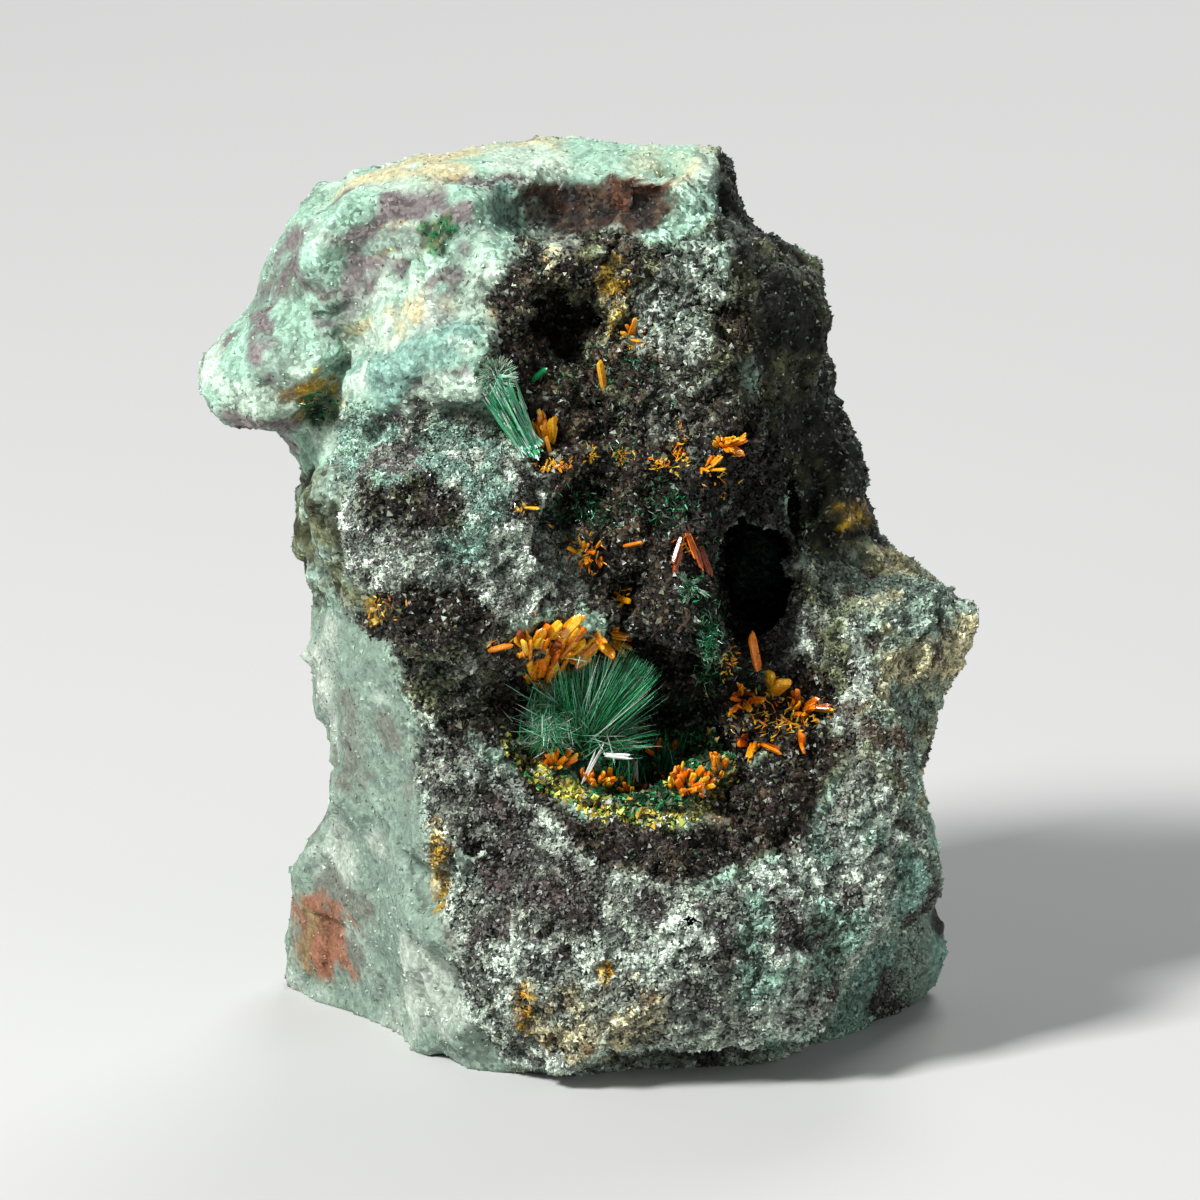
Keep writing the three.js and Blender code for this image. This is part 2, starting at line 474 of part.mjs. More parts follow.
// Merges the ends of the edges that matter least, until `target` triangles are left. Flat places
// get large faces and broken ones small faces, and the mesh stays closed.
function simplify({ points, triangles }, target) {
  const STEADY = 0.004; // pull towards the old place, which keeps the sums solvable on flat faces
  const SHARPEST_TURN = 0.25; // cosine of the most that a face may turn in one merge
  const SMALLEST_FACE = 1e-4; // twice the area that a merge must leave
  const quadrics = points.map((point) => {
    const quadric = new Float64Array(10);
    const axes = [[1, 0, 0], [0, 1, 0], [0, 0, 1]].map((axis) => new THREE.Vector3(...axis));
    for (const axis of axes) addPlane(quadric, axis, -axis.dot(point), STEADY);
    return quadric;
  });
  const around = points.map(() => new Set());
  const normalOf = (a, b, c) => b.clone().sub(a).cross(c.clone().sub(a));
  triangles.forEach((corners, face) => {
    const [a, b, c] = corners.map((corner) => points[corner]);
    const normal = normalOf(a, b, c);
    const area = normal.length() / 2;
    normal.normalize();
    for (const corner of corners) {
      around[corner].add(face);
      addPlane(quadrics[corner], normal, -normal.dot(a), area);
    }
  });
  const age = new Int32Array(points.length);
  const heap = new Heap();
  const offer = (a, b) => {
    const sum = quadrics[a].map((value, i) => value + quadrics[b][i]);
    const place = quadricLowest(sum);
    if (!(place.distanceTo(points[a]) < 3 * points[a].distanceTo(points[b]))) return;
    heap.push({ cost: quadricCost(sum, place), a, b, place, ages: age[a] + age[b] });
  };
  const neighbours = (point) => {
    const found = new Set();
    for (const face of around[point]) for (const corner of triangles[face]) found.add(corner);
    found.delete(point);
    return found;
  };
  points.forEach((_, a) => {
    for (const b of neighbours(a)) if (b > a) offer(a, b);
  });
  const turnsOver = (kept, dropped, place) => {
    for (const face of around[kept]) {
      const corners = triangles[face];
      if (corners.includes(dropped)) continue;
      const before = normalOf(...corners.map((corner) => points[corner]));
      const after = normalOf(...corners.map((corner) => (corner === kept ? place : points[corner])));
      if (before.dot(after) < SHARPEST_TURN * before.length() * after.length()) return true;
      if (after.length() < SMALLEST_FACE) return true;
    }
    return false;
  };
  let left = triangles.length;
  while (left > target && heap.items.length) {
    const { a, b, place, ages } = heap.pop();
    if (!around[a].size || !around[b].size || ages !== age[a] + age[b]) continue;
    const nearA = neighbours(a);
    if (!nearA.has(b)) continue;
    const shared = [...neighbours(b)].filter((point) => nearA.has(point));
    if (shared.length !== 2 || turnsOver(a, b, place) || turnsOver(b, a, place)) continue;
    for (const face of around[b]) {
      if (triangles[face].includes(a)) {
        for (const corner of triangles[face]) if (corner !== b) around[corner].delete(face);
        triangles[face] = null;
        left--;
      } else {
        triangles[face] = triangles[face].map((corner) => (corner === b ? a : corner));
        around[a].add(face);
      }
    }
    around[b] = new Set();
    points[a] = place;
    quadrics[a] = quadrics[a].map((value, i) => value + quadrics[b][i]);
    age[a] += age[b] + 1;
    for (const point of neighbours(a)) offer(a, point);
  }
  return { points, triangles: triangles.filter(Boolean) };
}

function geometryOf({ points, triangles }) {
  const geometry = new THREE.BufferGeometry().setFromPoints(points);
  return geometry.setIndex(triangles.flat());
}

// A closed three.js geometry as a manifold solid, for cutting and joining.
function solidOf(geometry) {
  const bare = geometry.clone();
  bare.deleteAttribute('normal');
  bare.deleteAttribute('uv');
  const merged = mergeVertices(bare, POINT_GRID);
  const index = merged.index.array;
  const kept = [];
  for (let i = 0; i < index.length; i += 3) {
    const [a, b, c] = index.slice(i, i + 3);
    if (a !== b && b !== c && a !== c) kept.push(a, b, c);
  }
  const vertProperties = new Float32Array(merged.attributes.position.array);
  const triVerts = new Uint32Array(kept);
  return new wasm.Manifold(new wasm.Mesh({ numProp: 3, vertProperties, triVerts }));
}

function geometryFrom(solid) {
  const mesh = solid.getMesh();
  const positions = new Float32Array(mesh.numVert * 3);
  for (let i = 0; i < mesh.numVert; i++) {
    positions.set(mesh.vertProperties.subarray(i * mesh.numProp, i * mesh.numProp + 3), i * 3);
  }
  const geometry = new THREE.BufferGeometry();
  geometry.setAttribute('position', new THREE.BufferAttribute(positions, 3));
  geometry.setIndex(new THREE.BufferAttribute(mesh.triVerts, 1));
  return geometry;
}

// The rock, cut level where it stands.
function makeMatrix() {
  const raw = simplify(surfaceOf(rockDistance, LOW_CORNER, HIGH_CORNER, GRID), MATRIX_TRIANGLES);
  const below = new THREE.BoxGeometry(80, 80, 20).translate(0, 0, -10);
  return solidOf(geometryOf(raw)).subtract(solidOf(below));
}

const matrix = makeMatrix();

// The rock with its skin moved out by `GAP`, which cuts the feet of what grows on it.
function makeRockToClear() {
  const geometry = geometryFrom(matrix);
  geometry.computeVertexNormals();
  const { position, normal } = geometry.attributes;
  for (let i = 0; i < position.count; i++) {
    const place = new THREE.Vector3().fromBufferAttribute(position, i);
    place.addScaledVector(new THREE.Vector3().fromBufferAttribute(normal, i), GAP);
    position.setXYZ(i, place.x, place.y, place.z);
  }
  return solidOf(geometry);
}

const rockToClear = makeRockToClear();

// Directions as the viewer of the outline sees them.
const RIGHT = new THREE.Vector3(1, 0, 0);
const UP = new THREE.Vector3(0, Math.sin(VIEW_TILT), Math.cos(VIEW_TILT));
const TOWARDS = new THREE.Vector3(0, -Math.cos(VIEW_TILT), Math.sin(VIEW_TILT));
const seenAs = (right, up, towards) => new THREE.Vector3()
  .addScaledVector(RIGHT, right).addScaledVector(UP, up).addScaledVector(TOWARDS, towards);

const rockMesh = new THREE.Mesh(geometryFrom(matrix), new THREE.MeshBasicMaterial());
rockMesh.updateMatrixWorld();

// Where the line of sight at `x` and a seen height first meets the rock.
function onRock(x, seenHeight) {
  const start = new THREE.Vector3(x, FRONT_FOOT_Y, seenHeight).addScaledVector(TOWARDS, 60);
  const hits = new THREE.Raycaster(start, TOWARDS.clone().negate()).intersectObject(rockMesh);
  return hits[0].point;
}

// A crystal from its root to its tip: a prism that is wider than it is thick. It narrows from its
// shoulder to a flat end, or to a point where `end` is zero.
function crystal(root, tip, { width, flatness = 0.6, sides = 6, shoulder = 0.86, end = 0.3, spin = 0 }) {
  const along = tip.clone().sub(root);
  const length = along.length();
  const profile = [[0, 0], [0.36, 0], [0.5, shoulder * length], [end, length], [0, length]];
  if (!end) profile.pop();
  const corners = profile.map((corner) => new THREE.Vector2(...corner));
  const geometry = new THREE.LatheGeometry(corners, sides);
  geometry.scale(width, 1, width * flatness).rotateY(spin);
  const turn = new THREE.Quaternion();
  turn.setFromUnitVectors(new THREE.Vector3(0, 1, 0), along.normalize());
  return solidOf(geometry.applyQuaternion(turn).translate(root.x, root.y, root.z));
}

const foot = (at, size) => solidOf(new THREE.OctahedronGeometry(size).translate(at.x, at.y, at.z));
const joined = (solids) => solids.reduce((sum, solid) => sum.add(solid));

// The largest of the bodies that a cut leaves, once points that all but meet are merged.
function largestBody(solid) {
  const bodies = solidOf(geometryFrom(solid)).decompose();
  return bodies.reduce((largest, body) => (body.volume() > largest.volume() ? body : largest));
}

// A solid with the slivers that joining and cutting leave merged into their neighbours.
function tidied(solid, share) {
  const geometry = geometryFrom(solid);
  const { position } = geometry.attributes;
  const points = [];
  for (let i = 0; i < position.count; i++) {
    points.push(new THREE.Vector3().fromBufferAttribute(position, i));
  }
  const corners = [...geometry.index.array];
  const triangles = [];
  for (let i = 0; i < corners.length; i += 3) triangles.push(corners.slice(i, i + 3));
  const simpler = simplify({ points, triangles }, share * triangles.length);
  return largestBody(solidOf(geometryOf(simpler)));
}

// The part of a growth that stands clear of the rock. What no longer hangs together is dropped.
function clearOf(growth, ...neighbours) {
  let rest = growth;
  for (const neighbour of [rockToClear, ...neighbours]) rest = rest.subtract(neighbour);
  return largestBody(rest);
}

// Crystals set over a patch of the rock, each on its own foot, and fanned out from its middle.
function rosette({ at, patch, count, length, width, lean = [0, 0], fan = 0.9, out = 0.7, seed = 1 }) {
  const pieces = [];
  for (let i = 0; i < count; i++) {
    const radius = Math.sqrt((i + 0.5) / count);
    const angle = i * GOLDEN_ANGLE + seed;
    const [px, py] = [radius * Math.cos(angle), radius * Math.sin(angle)];
    const base = onRock(at[0] + px * patch[0], at[1] + py * patch[1]);
    const [strayRight, strayUp] = [0, 1].map((which) => WANDER * (scatter(i, seed, 3, which) - 0.5));
    const direction = seenAs(px * fan + lean[0] + strayRight, py * fan + lean[1] + strayUp, out);
    direction.normalize();
    const reach = length * (LENGTHS.shortest + LENGTHS.range * scatter(i, seed, 5, 2));
    const tip = base.clone().addScaledVector(direction, reach);
    const root = base.clone().addScaledVector(direction, -ROOT_DEPTH * length);
    pieces.push(crystal(root, tip, { width, spin: 2 * Math.PI * scatter(i, seed, 7, 3) }));
    pieces.push(foot(base, FOOT_SIZE * width));
  }
  return joined(pieces);
}

// Needles that leave one root in a spread of directions given by the angle that they are seen at.
function sheaf({ at, bundles, sides = 4 }) {
  const root = onRock(...at);
  const pieces = [];
  bundles.forEach(({ from, to, count, length, width, out, rootSpread = 0.35 }, bundle) => {
    for (let i = 0; i < count; i++) {
      const chance = [0, 1, 2, 3, 4].map((which) => scatter(i, bundle, 11, which));
      const share = (i + chance[0]) / count;
      const angle = THREE.MathUtils.degToRad(THREE.MathUtils.lerp(from, to, share));
      const towards = THREE.MathUtils.lerp(out[0], out[1], chance[1]);
      const direction = seenAs(Math.cos(angle), Math.sin(angle), towards);
      const aside = [chance[2], chance[3]].map((value) => rootSpread * (2 * value - 1));
      const start = root.clone().add(seenAs(...aside, 0));
      const reach = length * (NEEDLE_LENGTHS.shortest + NEEDLE_LENGTHS.range * chance[4]);
      const tip = start.clone().addScaledVector(direction, reach);
      start.addScaledVector(direction.normalize(), -NEEDLE_ROOT);
      pieces.push(crystal(start, tip, { ...NEEDLE, width, sides, spin: i }));
    }
  });
  return joined(pieces);
}

// The crust on the floor and the rim of the pocket, with the small crystals that stand in it.
function makeCrust() {
  const { top, lap, thickness, grain } = CRUST;
  const hollow = (wanted) => HOLLOWS.find(({ name }) => name === wanted);
  const [pocket, floor] = [hollow('pocket'), hollow('pocket floor')];
  const low = pocket.at.map((value, axis) => value - pocket.half[axis] - 2);
  const high = pocket.at.map((value, axis) => value + pocket.half[axis] + 1);
  const skin = (x, y, z) => {
    const grains = thickness + grain.depth * fractalNoise(x, y, z, grain.across, 2);
    const edge = top.at + top.wander * fractalNoise(x, y, 0, top.across, 1);
    const inside = Math.min(blockDistance(pocket, x, y, z), blockDistance(floor, x, y, z));
    const patch = Math.max(inside - lap, z - edge);
    return Math.max(rockDistance(x, y, z) - grains, patch);
  };
  const shell = simplify(surfaceOf(skin, low, high, CRUST.step), CRUST.triangles);
  const blades = POCKET_BLADES.map((blade) => rosette(blade));
  const needles = POCKET_NEEDLES.map((needle) => sheaf(needle));
  const grown = joined([solidOf(geometryOf(shell)), ...blades, ...needles]);
  return tidied(clearOf(grown), KEPT.crust);
}

const specimen = new THREE.Group();
const addPiece = (name, solid, color, roughness) => {
  const material = new THREE.MeshStandardMaterial({ color, roughness, flatShading: true });
  const mesh = new THREE.Mesh(geometryFrom(solid), material);
  mesh.name = name;
  specimen.add(mesh);
};
addPiece('matrix', matrix, 0x7f8c80, 0.9);

const crust = makeCrust();
addPiece('pocket_crust', crust, 0x8d9430, 0.6);

const spray = tidied(clearOf(sheaf(SPRAY), crust), KEPT.spray);
addPiece('malachite_spray', spray, 0x0d6b3c, 0.45);
const fan = tidied(clearOf(sheaf(FAN)), KEPT.fan);
addPiece('malachite_fan', fan, 0x2f9c83, 0.45);
for (const blade of MALACHITE_BLADES) {
  addPiece(blade.name, tidied(clearOf(rosette(blade)), KEPT.small), 0x1c8a5a, 0.4);
}
const malachite = joined([crust, spray, fan]);
for (const growth of KASOLITE) {
  addPiece(growth.name, tidied(clearOf(rosette(growth), malachite), KEPT.small), 0xd97a14, 0.3);
}

const extent = new THREE.Box3().setFromObject(specimen);
const middle = extent.getCenter(new THREE.Vector3());
const onGrid = (value) => Math.round(value / POINT_GRID) * POINT_GRID;
specimen.position.set(-onGrid(middle.x), -onGrid(middle.y), 0);

export default specimen;
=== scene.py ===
# Kasolite with malachite: the looks of the specimen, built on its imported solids.
# Arrays hold millimetres in the part's frame, and meshes are written in metres.
import itertools
import math
from typing import NamedTuple

import bpy
import numpy as np
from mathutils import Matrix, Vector
from mathutils.bvhtree import BVHTree


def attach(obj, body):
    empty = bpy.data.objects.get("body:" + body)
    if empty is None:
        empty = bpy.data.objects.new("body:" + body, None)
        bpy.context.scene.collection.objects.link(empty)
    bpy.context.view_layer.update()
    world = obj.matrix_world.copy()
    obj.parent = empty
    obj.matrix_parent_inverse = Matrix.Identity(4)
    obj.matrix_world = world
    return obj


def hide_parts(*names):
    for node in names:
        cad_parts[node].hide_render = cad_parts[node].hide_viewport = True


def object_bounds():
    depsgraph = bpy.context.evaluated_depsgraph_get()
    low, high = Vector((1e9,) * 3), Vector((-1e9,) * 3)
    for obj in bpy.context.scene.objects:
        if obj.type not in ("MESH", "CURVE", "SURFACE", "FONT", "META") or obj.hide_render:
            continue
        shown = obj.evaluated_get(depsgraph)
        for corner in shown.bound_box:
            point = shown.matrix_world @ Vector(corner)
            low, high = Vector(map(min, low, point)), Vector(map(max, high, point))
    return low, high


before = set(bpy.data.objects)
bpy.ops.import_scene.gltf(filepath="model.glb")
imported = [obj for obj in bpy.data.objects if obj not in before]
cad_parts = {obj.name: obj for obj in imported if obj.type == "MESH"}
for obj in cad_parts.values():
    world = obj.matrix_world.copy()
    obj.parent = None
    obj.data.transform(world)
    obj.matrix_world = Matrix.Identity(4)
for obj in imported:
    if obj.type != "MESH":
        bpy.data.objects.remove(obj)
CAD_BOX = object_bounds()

MM = 0.001
ROCK_VOXEL = 0.24  # size of the faces on the rock
CRUST_VOXEL = 0.15
CRUST_GRAINS = 12000
GRAIN_SPREAD = 0.35  # how far grains differ in size
ROOT_DEPTH = 0.25  # how deep a crystal's root lies, as a share of its length
GOLDEN_ANGLE = 2.4
WANDER = 0.5  # how far a crystal's direction strays

# Places on the front are given by x and seen height, as the outline is in the part's source.
# The seen height of a point grows as it lies further back, as seen from 15 degrees above.
VIEW_TILT = math.radians(15)
FRONT_FOOT_Y = -9.0
OUTLINE_ORIGIN = np.array((-0.453, 0.523, 0.0))
RIGHT = np.array((1.0, 0.0, 0.0))
UP = np.array((0.0, math.sin(VIEW_TILT), math.cos(VIEW_TILT)))
TOWARDS = np.array((0.0, -math.cos(VIEW_TILT), math.sin(VIEW_TILT)))

# Colours as sRGB values.
COLOURS = {
    "seafoam": (146, 182, 160), "pale_green": (176, 198, 178), "turquoise": (122, 158, 144),
    "mauve": (114, 107, 106), "cream": (190, 184, 146), "grey": (112, 118, 106),
    "ash": (168, 180, 166), "slate": (58, 54, 52), "blue_green": (110, 140, 124),
    "umber": (38, 31, 25), "plum": (58, 48, 46), "brown": (66, 53, 39), "black": (13, 10, 9),
    "olive": (56, 58, 34), "moss": (98, 104, 74), "tan": (136, 114, 78), "rust": (142, 96, 72),
    "dark_rust": (78, 46, 26), "ochre": (186, 152, 48), "malachite": (12, 104, 56),
    "deep_green": (4, 48, 24), "emerald": (44, 150, 92), "mint": (134, 204, 168),
    "frost": (222, 232, 220), "flank": (124, 144, 129), "teal": (48, 132, 108),
    "shade": (20, 22, 13), "lime": (206, 210, 92), "amber": (252, 146, 10),
    "orange": (244, 124, 4), "honey": (255, 176, 30), "dark_amber": (150, 64, 4),
    "yellow": (246, 208, 70),
}
GREENS = ("malachite", "deep_green", "emerald", "mint")
AMBERS = ("amber", "orange", "honey", "dark_amber")
GRITS = ("ash", "grey", "slate", "umber", "frost")


class Zone(NamedTuple):
    """A part of the front inside an outline."""
    name: str
    tones: tuple  # three colours
    patch: float  # how wide the patches of colour are
    speck: float  # how strong the specks are
    relief: float  # how rough the surface is
    ring: list


class Spot(NamedTuple):
    """An oval part of the front."""
    name: str
    tones: tuple
    middle: tuple
    half: tuple  # half sizes
    patch: float = 0.7


# Later zones lie over earlier ones, and spots over zones.
ZONES = [
    Zone("lower left flank", ("flank", "ash", "grey"), 3.4, 0.22, 0.3,
         [(-14, 20.8), (-7.7, 19.4), (-6.1, 9.7), (-4.8, 3.3), (-0.7, -2), (-14, -2)]),
    Zone("left edge", ("moss", "flank", "olive"), 1.6, 0.6, 1,
         [(-14, 26.4), (-9.6, 26), (-9.2, 22), (-8.2, 20), (-14, 20.4)]),
    Zone("slab", ("seafoam", "pale_green", "mauve"), 3.2, 0.28, 0.35,
         [(-17, 28), (-12.4, 37), (-9.3, 39), (-3.2, 37.7), (-2.4, 34.7), (-3.2, 31.8),
          (-4.4, 29.4), (-8.1, 27.3), (-11.4, 25.6), (-17, 26)]),
    Zone("slab upper left", ("seafoam", "flank", "mauve"), 1.9, 0.3, 0.4,
         [(-15, 29.6), (-12.2, 36.6), (-9.4, 35.2), (-10.2, 31.4), (-12.6, 29.4)]),
    Zone("slab face", ("turquoise", "seafoam", "pale_green"), 2, 0.35, 0.45,
         [(-9.8, 31), (-8, 32.6), (-3.6, 34.4), (-3.4, 31.8), (-4.6, 29.6), (-8.1, 27.6),
          (-10.4, 28.8)]),
    Zone("slab ridge", ("pale_green", "ash", "cream"), 1.6, 0.25, 0.5,
         [(-9.2, 31.6), (-3.2, 34.8), (-2.6, 33), (-3.2, 31.4), (-3.9, 32.4), (-9.4, 30.6)]),
    Zone("slab foot", ("mauve", "pale_green", "grey"), 1.2, 0.4, 0.5,
         [(-7.6, 28.6), (-4.6, 30), (-4.2, 29.2), (-7.6, 27.4), (-8.4, 27.6)]),
    Zone("top", ("seafoam", "cream", "pale_green"), 3.5, 0.16, 0.35,
         [(-11, 37.6), (-6.9, 41), (-1.4, 43), (5, 43), (8, 38.4), (5, 37.9), (-2.4, 38.1)]),
    # The upper right is painted dark as shade.
    Zone("upper right", ("shade", "olive", "black"), 2, 0.7, 1,
         [(5, 35.9), (6, 40), (11, 36), (12, 31.8), (13, 26.7), (14, 22.6), (8.7, 21.6),
          (6.6, 23.7), (7.1, 28.8), (6.6, 33)]),
    Zone("lower front", ("ash", "grey", "slate"), 1.5, 1, 1,
         [(-6.8, 17), (-2.4, 12.6), (0.9, 9.2), (5, 8), (9.9, 10.1), (11.2, 14.3), (13.2, 12.7),
          (14.6, 7.6), (13.2, 2), (9, -2), (-0.7, -2), (-4.8, 3.3), (-6.1, 9.7)]),
    Zone("lower right", ("blue_green", "ash", "slate"), 1.7, 0.9, 1,
         [(7, 9), (10, 10.6), (12.6, 11.6), (14.6, 7.6), (13, 2), (9, -1), (6.4, 3.4)]),
    Zone("right foot", ("flank", "turquoise", "slate"), 2.6, 0.4, 0.5,
         [(13.2, 9.7), (17, 6.3), (17, 1), (10.6, 0.6), (9.9, 3.3), (12.4, 6.3)]),
    Zone("right boss", ("moss", "ash", "brown"), 1.7, 0.8, 1,
         [(8.7, 21.6), (13.2, 23), (17, 19), (17, 13), (13.4, 11), (11.2, 14.3), (8.7, 16),
          (7.9, 19.4)]),
    Zone("boss flank", ("flank", "cream", "brown"), 1.8, 0.6, 1,
         [(11.4, 22.4), (13.4, 22.8), (17, 19), (17, 13), (13.4, 11), (12, 15)]),
    Zone("druse", ("umber", "brown", "black"), 0.8, 0.9, 1,
         [(-3.2, 34.9), (-0.7, 35.6), (5, 35.1), (6.8, 33), (6.9, 27.9), (6.6, 23.7), (7.4, 21),
          (8, 15.4), (3, 15.2), (2.5, 18.6), (0.5, 19.9), (-0.7, 23.7), (-2.4, 27.9),
          (-3.4, 30.5)]),
    Zone("high druse", ("brown", "moss", "umber"), 0.9, 1, 1.5,
         [(-2.4, 35.4), (5.2, 35.4), (6.6, 33), (6.6, 28.4), (3.4, 26.8), (0.6, 28.4),
          (-0.6, 31.6)]),
    Zone("pale band", ("ash", "flank", "moss"), 1.2, 0.9, 1.3,
         [(2.4, 33.2), (4, 35), (6.2, 36.4), (6.2, 33.6), (5.2, 31), (3.8, 29.8), (2.4, 31.2)]),
    Zone("grey druse", ("umber", "grey", "brown"), 0.7, 1, 1.2,
         [(1, 29.6), (3.4, 30.6), (6.4, 29.6), (6.6, 25.4), (3.8, 26.2)]),
    # The recess is painted black and umber as shade.
    Zone("recess", ("black", "umber", "black"), 1, 0.6, 1,
         [(4.9, 26.4), (7.7, 28.6), (9, 26), (9.3, 22), (8.7, 17.2), (6.8, 16.8), (5, 18.6),
          (4.5, 22.4)]),
    Zone("left block", ("ash", "slate", "grey"), 0.9, 1, 1,
         [(-9.6, 27.2), (-4, 28), (-2.2, 26.7), (0.3, 22), (0.3, 19.8), (-3.2, 18.9),
          (-7.7, 19.7), (-9.6, 22.6)]),
    Zone("block top", ("turquoise", "seafoam", "grey"), 1.4, 0.6, 0.6,
         [(-10, 27.6), (-8.6, 28.2), (-4.6, 27.6), (-4.2, 26.2), (-6.6, 24.9), (-9.6, 25)]),
    Zone("block column", ("turquoise", "blue_green", "ash"), 1.1, 0.8, 1,
         [(-5.8, 27), (-3.2, 27), (-2.3, 24.8), (-2.5, 22.6), (-5.4, 22), (-6, 24.4)]),
    Zone("block gloom", ("umber", "olive", "slate"), 0.9, 1, 1,
         [(-8.7, 25), (-6.2, 25.6), (-4.6, 25), (-5, 23.6), (-7.2, 22.9), (-8.6, 23.4)]),
    Zone("block edge", ("ash", "slate", "frost"), 0.7, 1, 1,
         [(-9.6, 24), (-8, 23.4), (-6.8, 21.4), (-7.4, 20.4), (-9.4, 21.4)]),
    # Painted shadow under the block.
    Zone("block underside shadow", ("umber", "plum", "black"), 0.9, 0.9, 1,
         [(-8.2, 20.6), (-6.4, 21.2), (-4.8, 20.6), (-2.6, 19.4), (-2.4, 18.4), (-5, 18),
          (-8.2, 18.8)]),
    Zone("under the block", ("plum", "umber", "moss"), 1.3, 0.9, 1,
         [(-8.9, 19.6), (-3.2, 18.6), (-0.7, 19.4), (-1.6, 16.9), (-2.8, 13.8), (-5.6, 14.6),
          (-7.5, 17.3)]),
    Zone("under step", ("moss", "grey", "olive"), 0.9, 1, 1,
         [(-7, 18.2), (-3.9, 18), (-3.6, 16), (-5.6, 15.6), (-6.8, 16.8)]),
    Zone("pocket rim", ("umber", "plum", "brown"), 1.1, 0.9, 1,
         [(-2.8, 14.3), (-0.7, 11.8), (2.5, 10.5), (5.8, 11.2), (6.4, 13.5), (9.1, 14.8),
          (11.2, 14.3), (9.1, 9.9), (5, 8.6), (0.9, 9.2), (-1.8, 11.8)]),
    Zone("shelf", ("umber", "black", "brown"), 0.9, 0.9, 1,
         [(5, 16.5), (9.1, 17.7), (10.5, 16.4), (10.3, 14.1), (7.5, 12.2), (5.6, 13.1),
          (5, 14.8)]),
    Zone("front dust", ("plum", "slate", "grey"), 1.2, 1, 1,
         [(-5.8, 12.6), (-3, 12.2), (0.4, 8.6), (1.4, 6.2), (-1.6, 5.4), (-4.2, 7.6)]),
]
SPOTS = [
    # The pocket is painted black and deep green as shade inside it.
    Spot("pocket", ("black", "umber", "deep_green"), (1.9, 15.6), (4, 3.6)),
    Spot("column", ("umber", "black", "brown"), (3, 18.4), (2.1, 2.2)),
    Spot("green edge", ("malachite", "olive", "umber"), (5.4, 18.4), (0.5, 2)),
    Spot("rusty hollow", ("dark_rust", "umber", "brown"), (1.3, 36.9), (3.4, 1.1)),
    Spot("block eye", ("slate", "mauve", "grey"), (-7.4, 26.4), (1.3, 0.8)),
    Spot("rust patch", ("rust", "flank", "tan"), (-11, 5.6), (1.6, 2), 2.2),
    Spot("cream top", ("cream", "ochre", "moss"), (1.5, 33.7), (0.8, 1.4)),
    Spot("cream left", ("cream", "grey", "tan"), (-1.4, 34.9), (1.1, 0.6)),
    Spot("cream foot", ("cream", "grey", "tan"), (0.9, 2.7), (2.9, 1.5)),
    Spot("stain high", ("tan", "pale_green", "ochre"), (-7.3, 35.5), (1.3, 0.8)),
    Spot("green high", ("deep_green", "moss", "malachite"), (-5.7, 35.6), (0.8, 0.8), 0.5),
    Spot("stain beak", ("tan", "pale_green", "ochre"), (-11, 29), (1.3, 1)),
    Spot("green beak", ("deep_green", "moss", "malachite"), (-10.6, 28.5), (0.8, 0.8), 0.5),
    Spot("stain edge", ("ochre", "tan", "olive"), (-8.1, 19.9), (0.4, 0.5)),
    Spot("seam", ("tan", "ochre", "cream"), (-5.7, 9), (0.4, 1.6)),
    Spot("mauve left", ("mauve", "flank", "grey"), (-11.5, 33.7), (1.5, 0.8)),
    Spot("mauve edge", ("mauve", "grey", "flank"), (-13, 32), (0.6, 0.7)),
    Spot("mauve high", ("mauve", "flank", "grey"), (-8.2, 35.5), (1.5, 0.6)),
    Spot("mauve middle", ("mauve", "grey", "seafoam"), (-5.2, 33.6), (0.8, 0.6)),
    # Painted shadow in the gap beside the block.
    Spot("block gap shadow", ("black", "umber", "black"), (-2, 24.6), (0.5, 1.3)),
    Spot("blue face", ("blue_green", "turquoise", "flank"), (-2.9, 36.8), (0.7, 1.2)),
    Spot("foot stain", ("ochre", "tan", "cream"), (-2.2, 3.3), (0.5, 1.1)),
    Spot("foot fleck", ("ochre", "rust", "tan"), (1.2, 4.6), (0.35, 0.45)),
    Spot("right stain", ("ochre", "olive", "tan"), (11.2, 23.9), (0.9, 0.8)),
]
# The yellow rim of the crust, from left to right.
RIM = [(-2.9, 14.35), (-2.5, 13.7), (-1.6, 13.2), (-1.2, 12.5), (0, 12.05), (0.7, 11.5),
       (1.9, 11.2), (3, 10.95), (4.4, 11.2), (5.3, 11.9), (5.9, 12.5), (6, 13.1)]
# The frost grains among the rim's tones stand for painted glints.
RIM_TONES = ("lime", "ochre", "moss", "frost", "emerald", "deep_green")
RIM_SHARES = (40, 20, 18, 10, 6, 6)
FLOOR_SHARES = (2, 3, 12, 1, 14, 56)
# Zones covered with tiny dark crystals, and zones of sandy grains.
DRUSY = ("druse", "high druse", "grey druse", "block gloom", "block underside shadow", "under the block",
         "pocket rim", "shelf", "recess", "pocket")
SANDY = ("lower front", "lower right", "left block", "block top", "block column", "block edge",
         "under step", "pale band", "right boss", "boss flank", "upper right", "front dust")
BLOCK = ("left block", "block top", "block column", "block edge", "under step")
# Grains on the rock: name, count, middle size, how many sizes they stand out, colours, their
# shares, and how much of the rock's own colour they take.
GRAINS = [
    ("druse_grains", 44000, 0.08, 0.3,
     ("umber", "black", "brown", "deep_green", "moss", "grey", "ash"),
     (26, 36, 10, 4, 10, 8, 6), 0.25),
    ("sand_grains", 46000, 0.07, 0.25, GRITS, (24, 24, 22, 20, 6), 0.65),
    ("block_grains", 24000, 0.065, 0.25, GRITS, (26, 24, 20, 22, 6), 0.65),
    ("dust_grains", 12000, 0.055, 0.0, ("ash", "grey", "pale_green"), (40, 20, 40), 0.85),
    ("rim_grains", 2600, 0.075, 0.6, RIM_TONES, RIM_SHARES, 0.0),
]


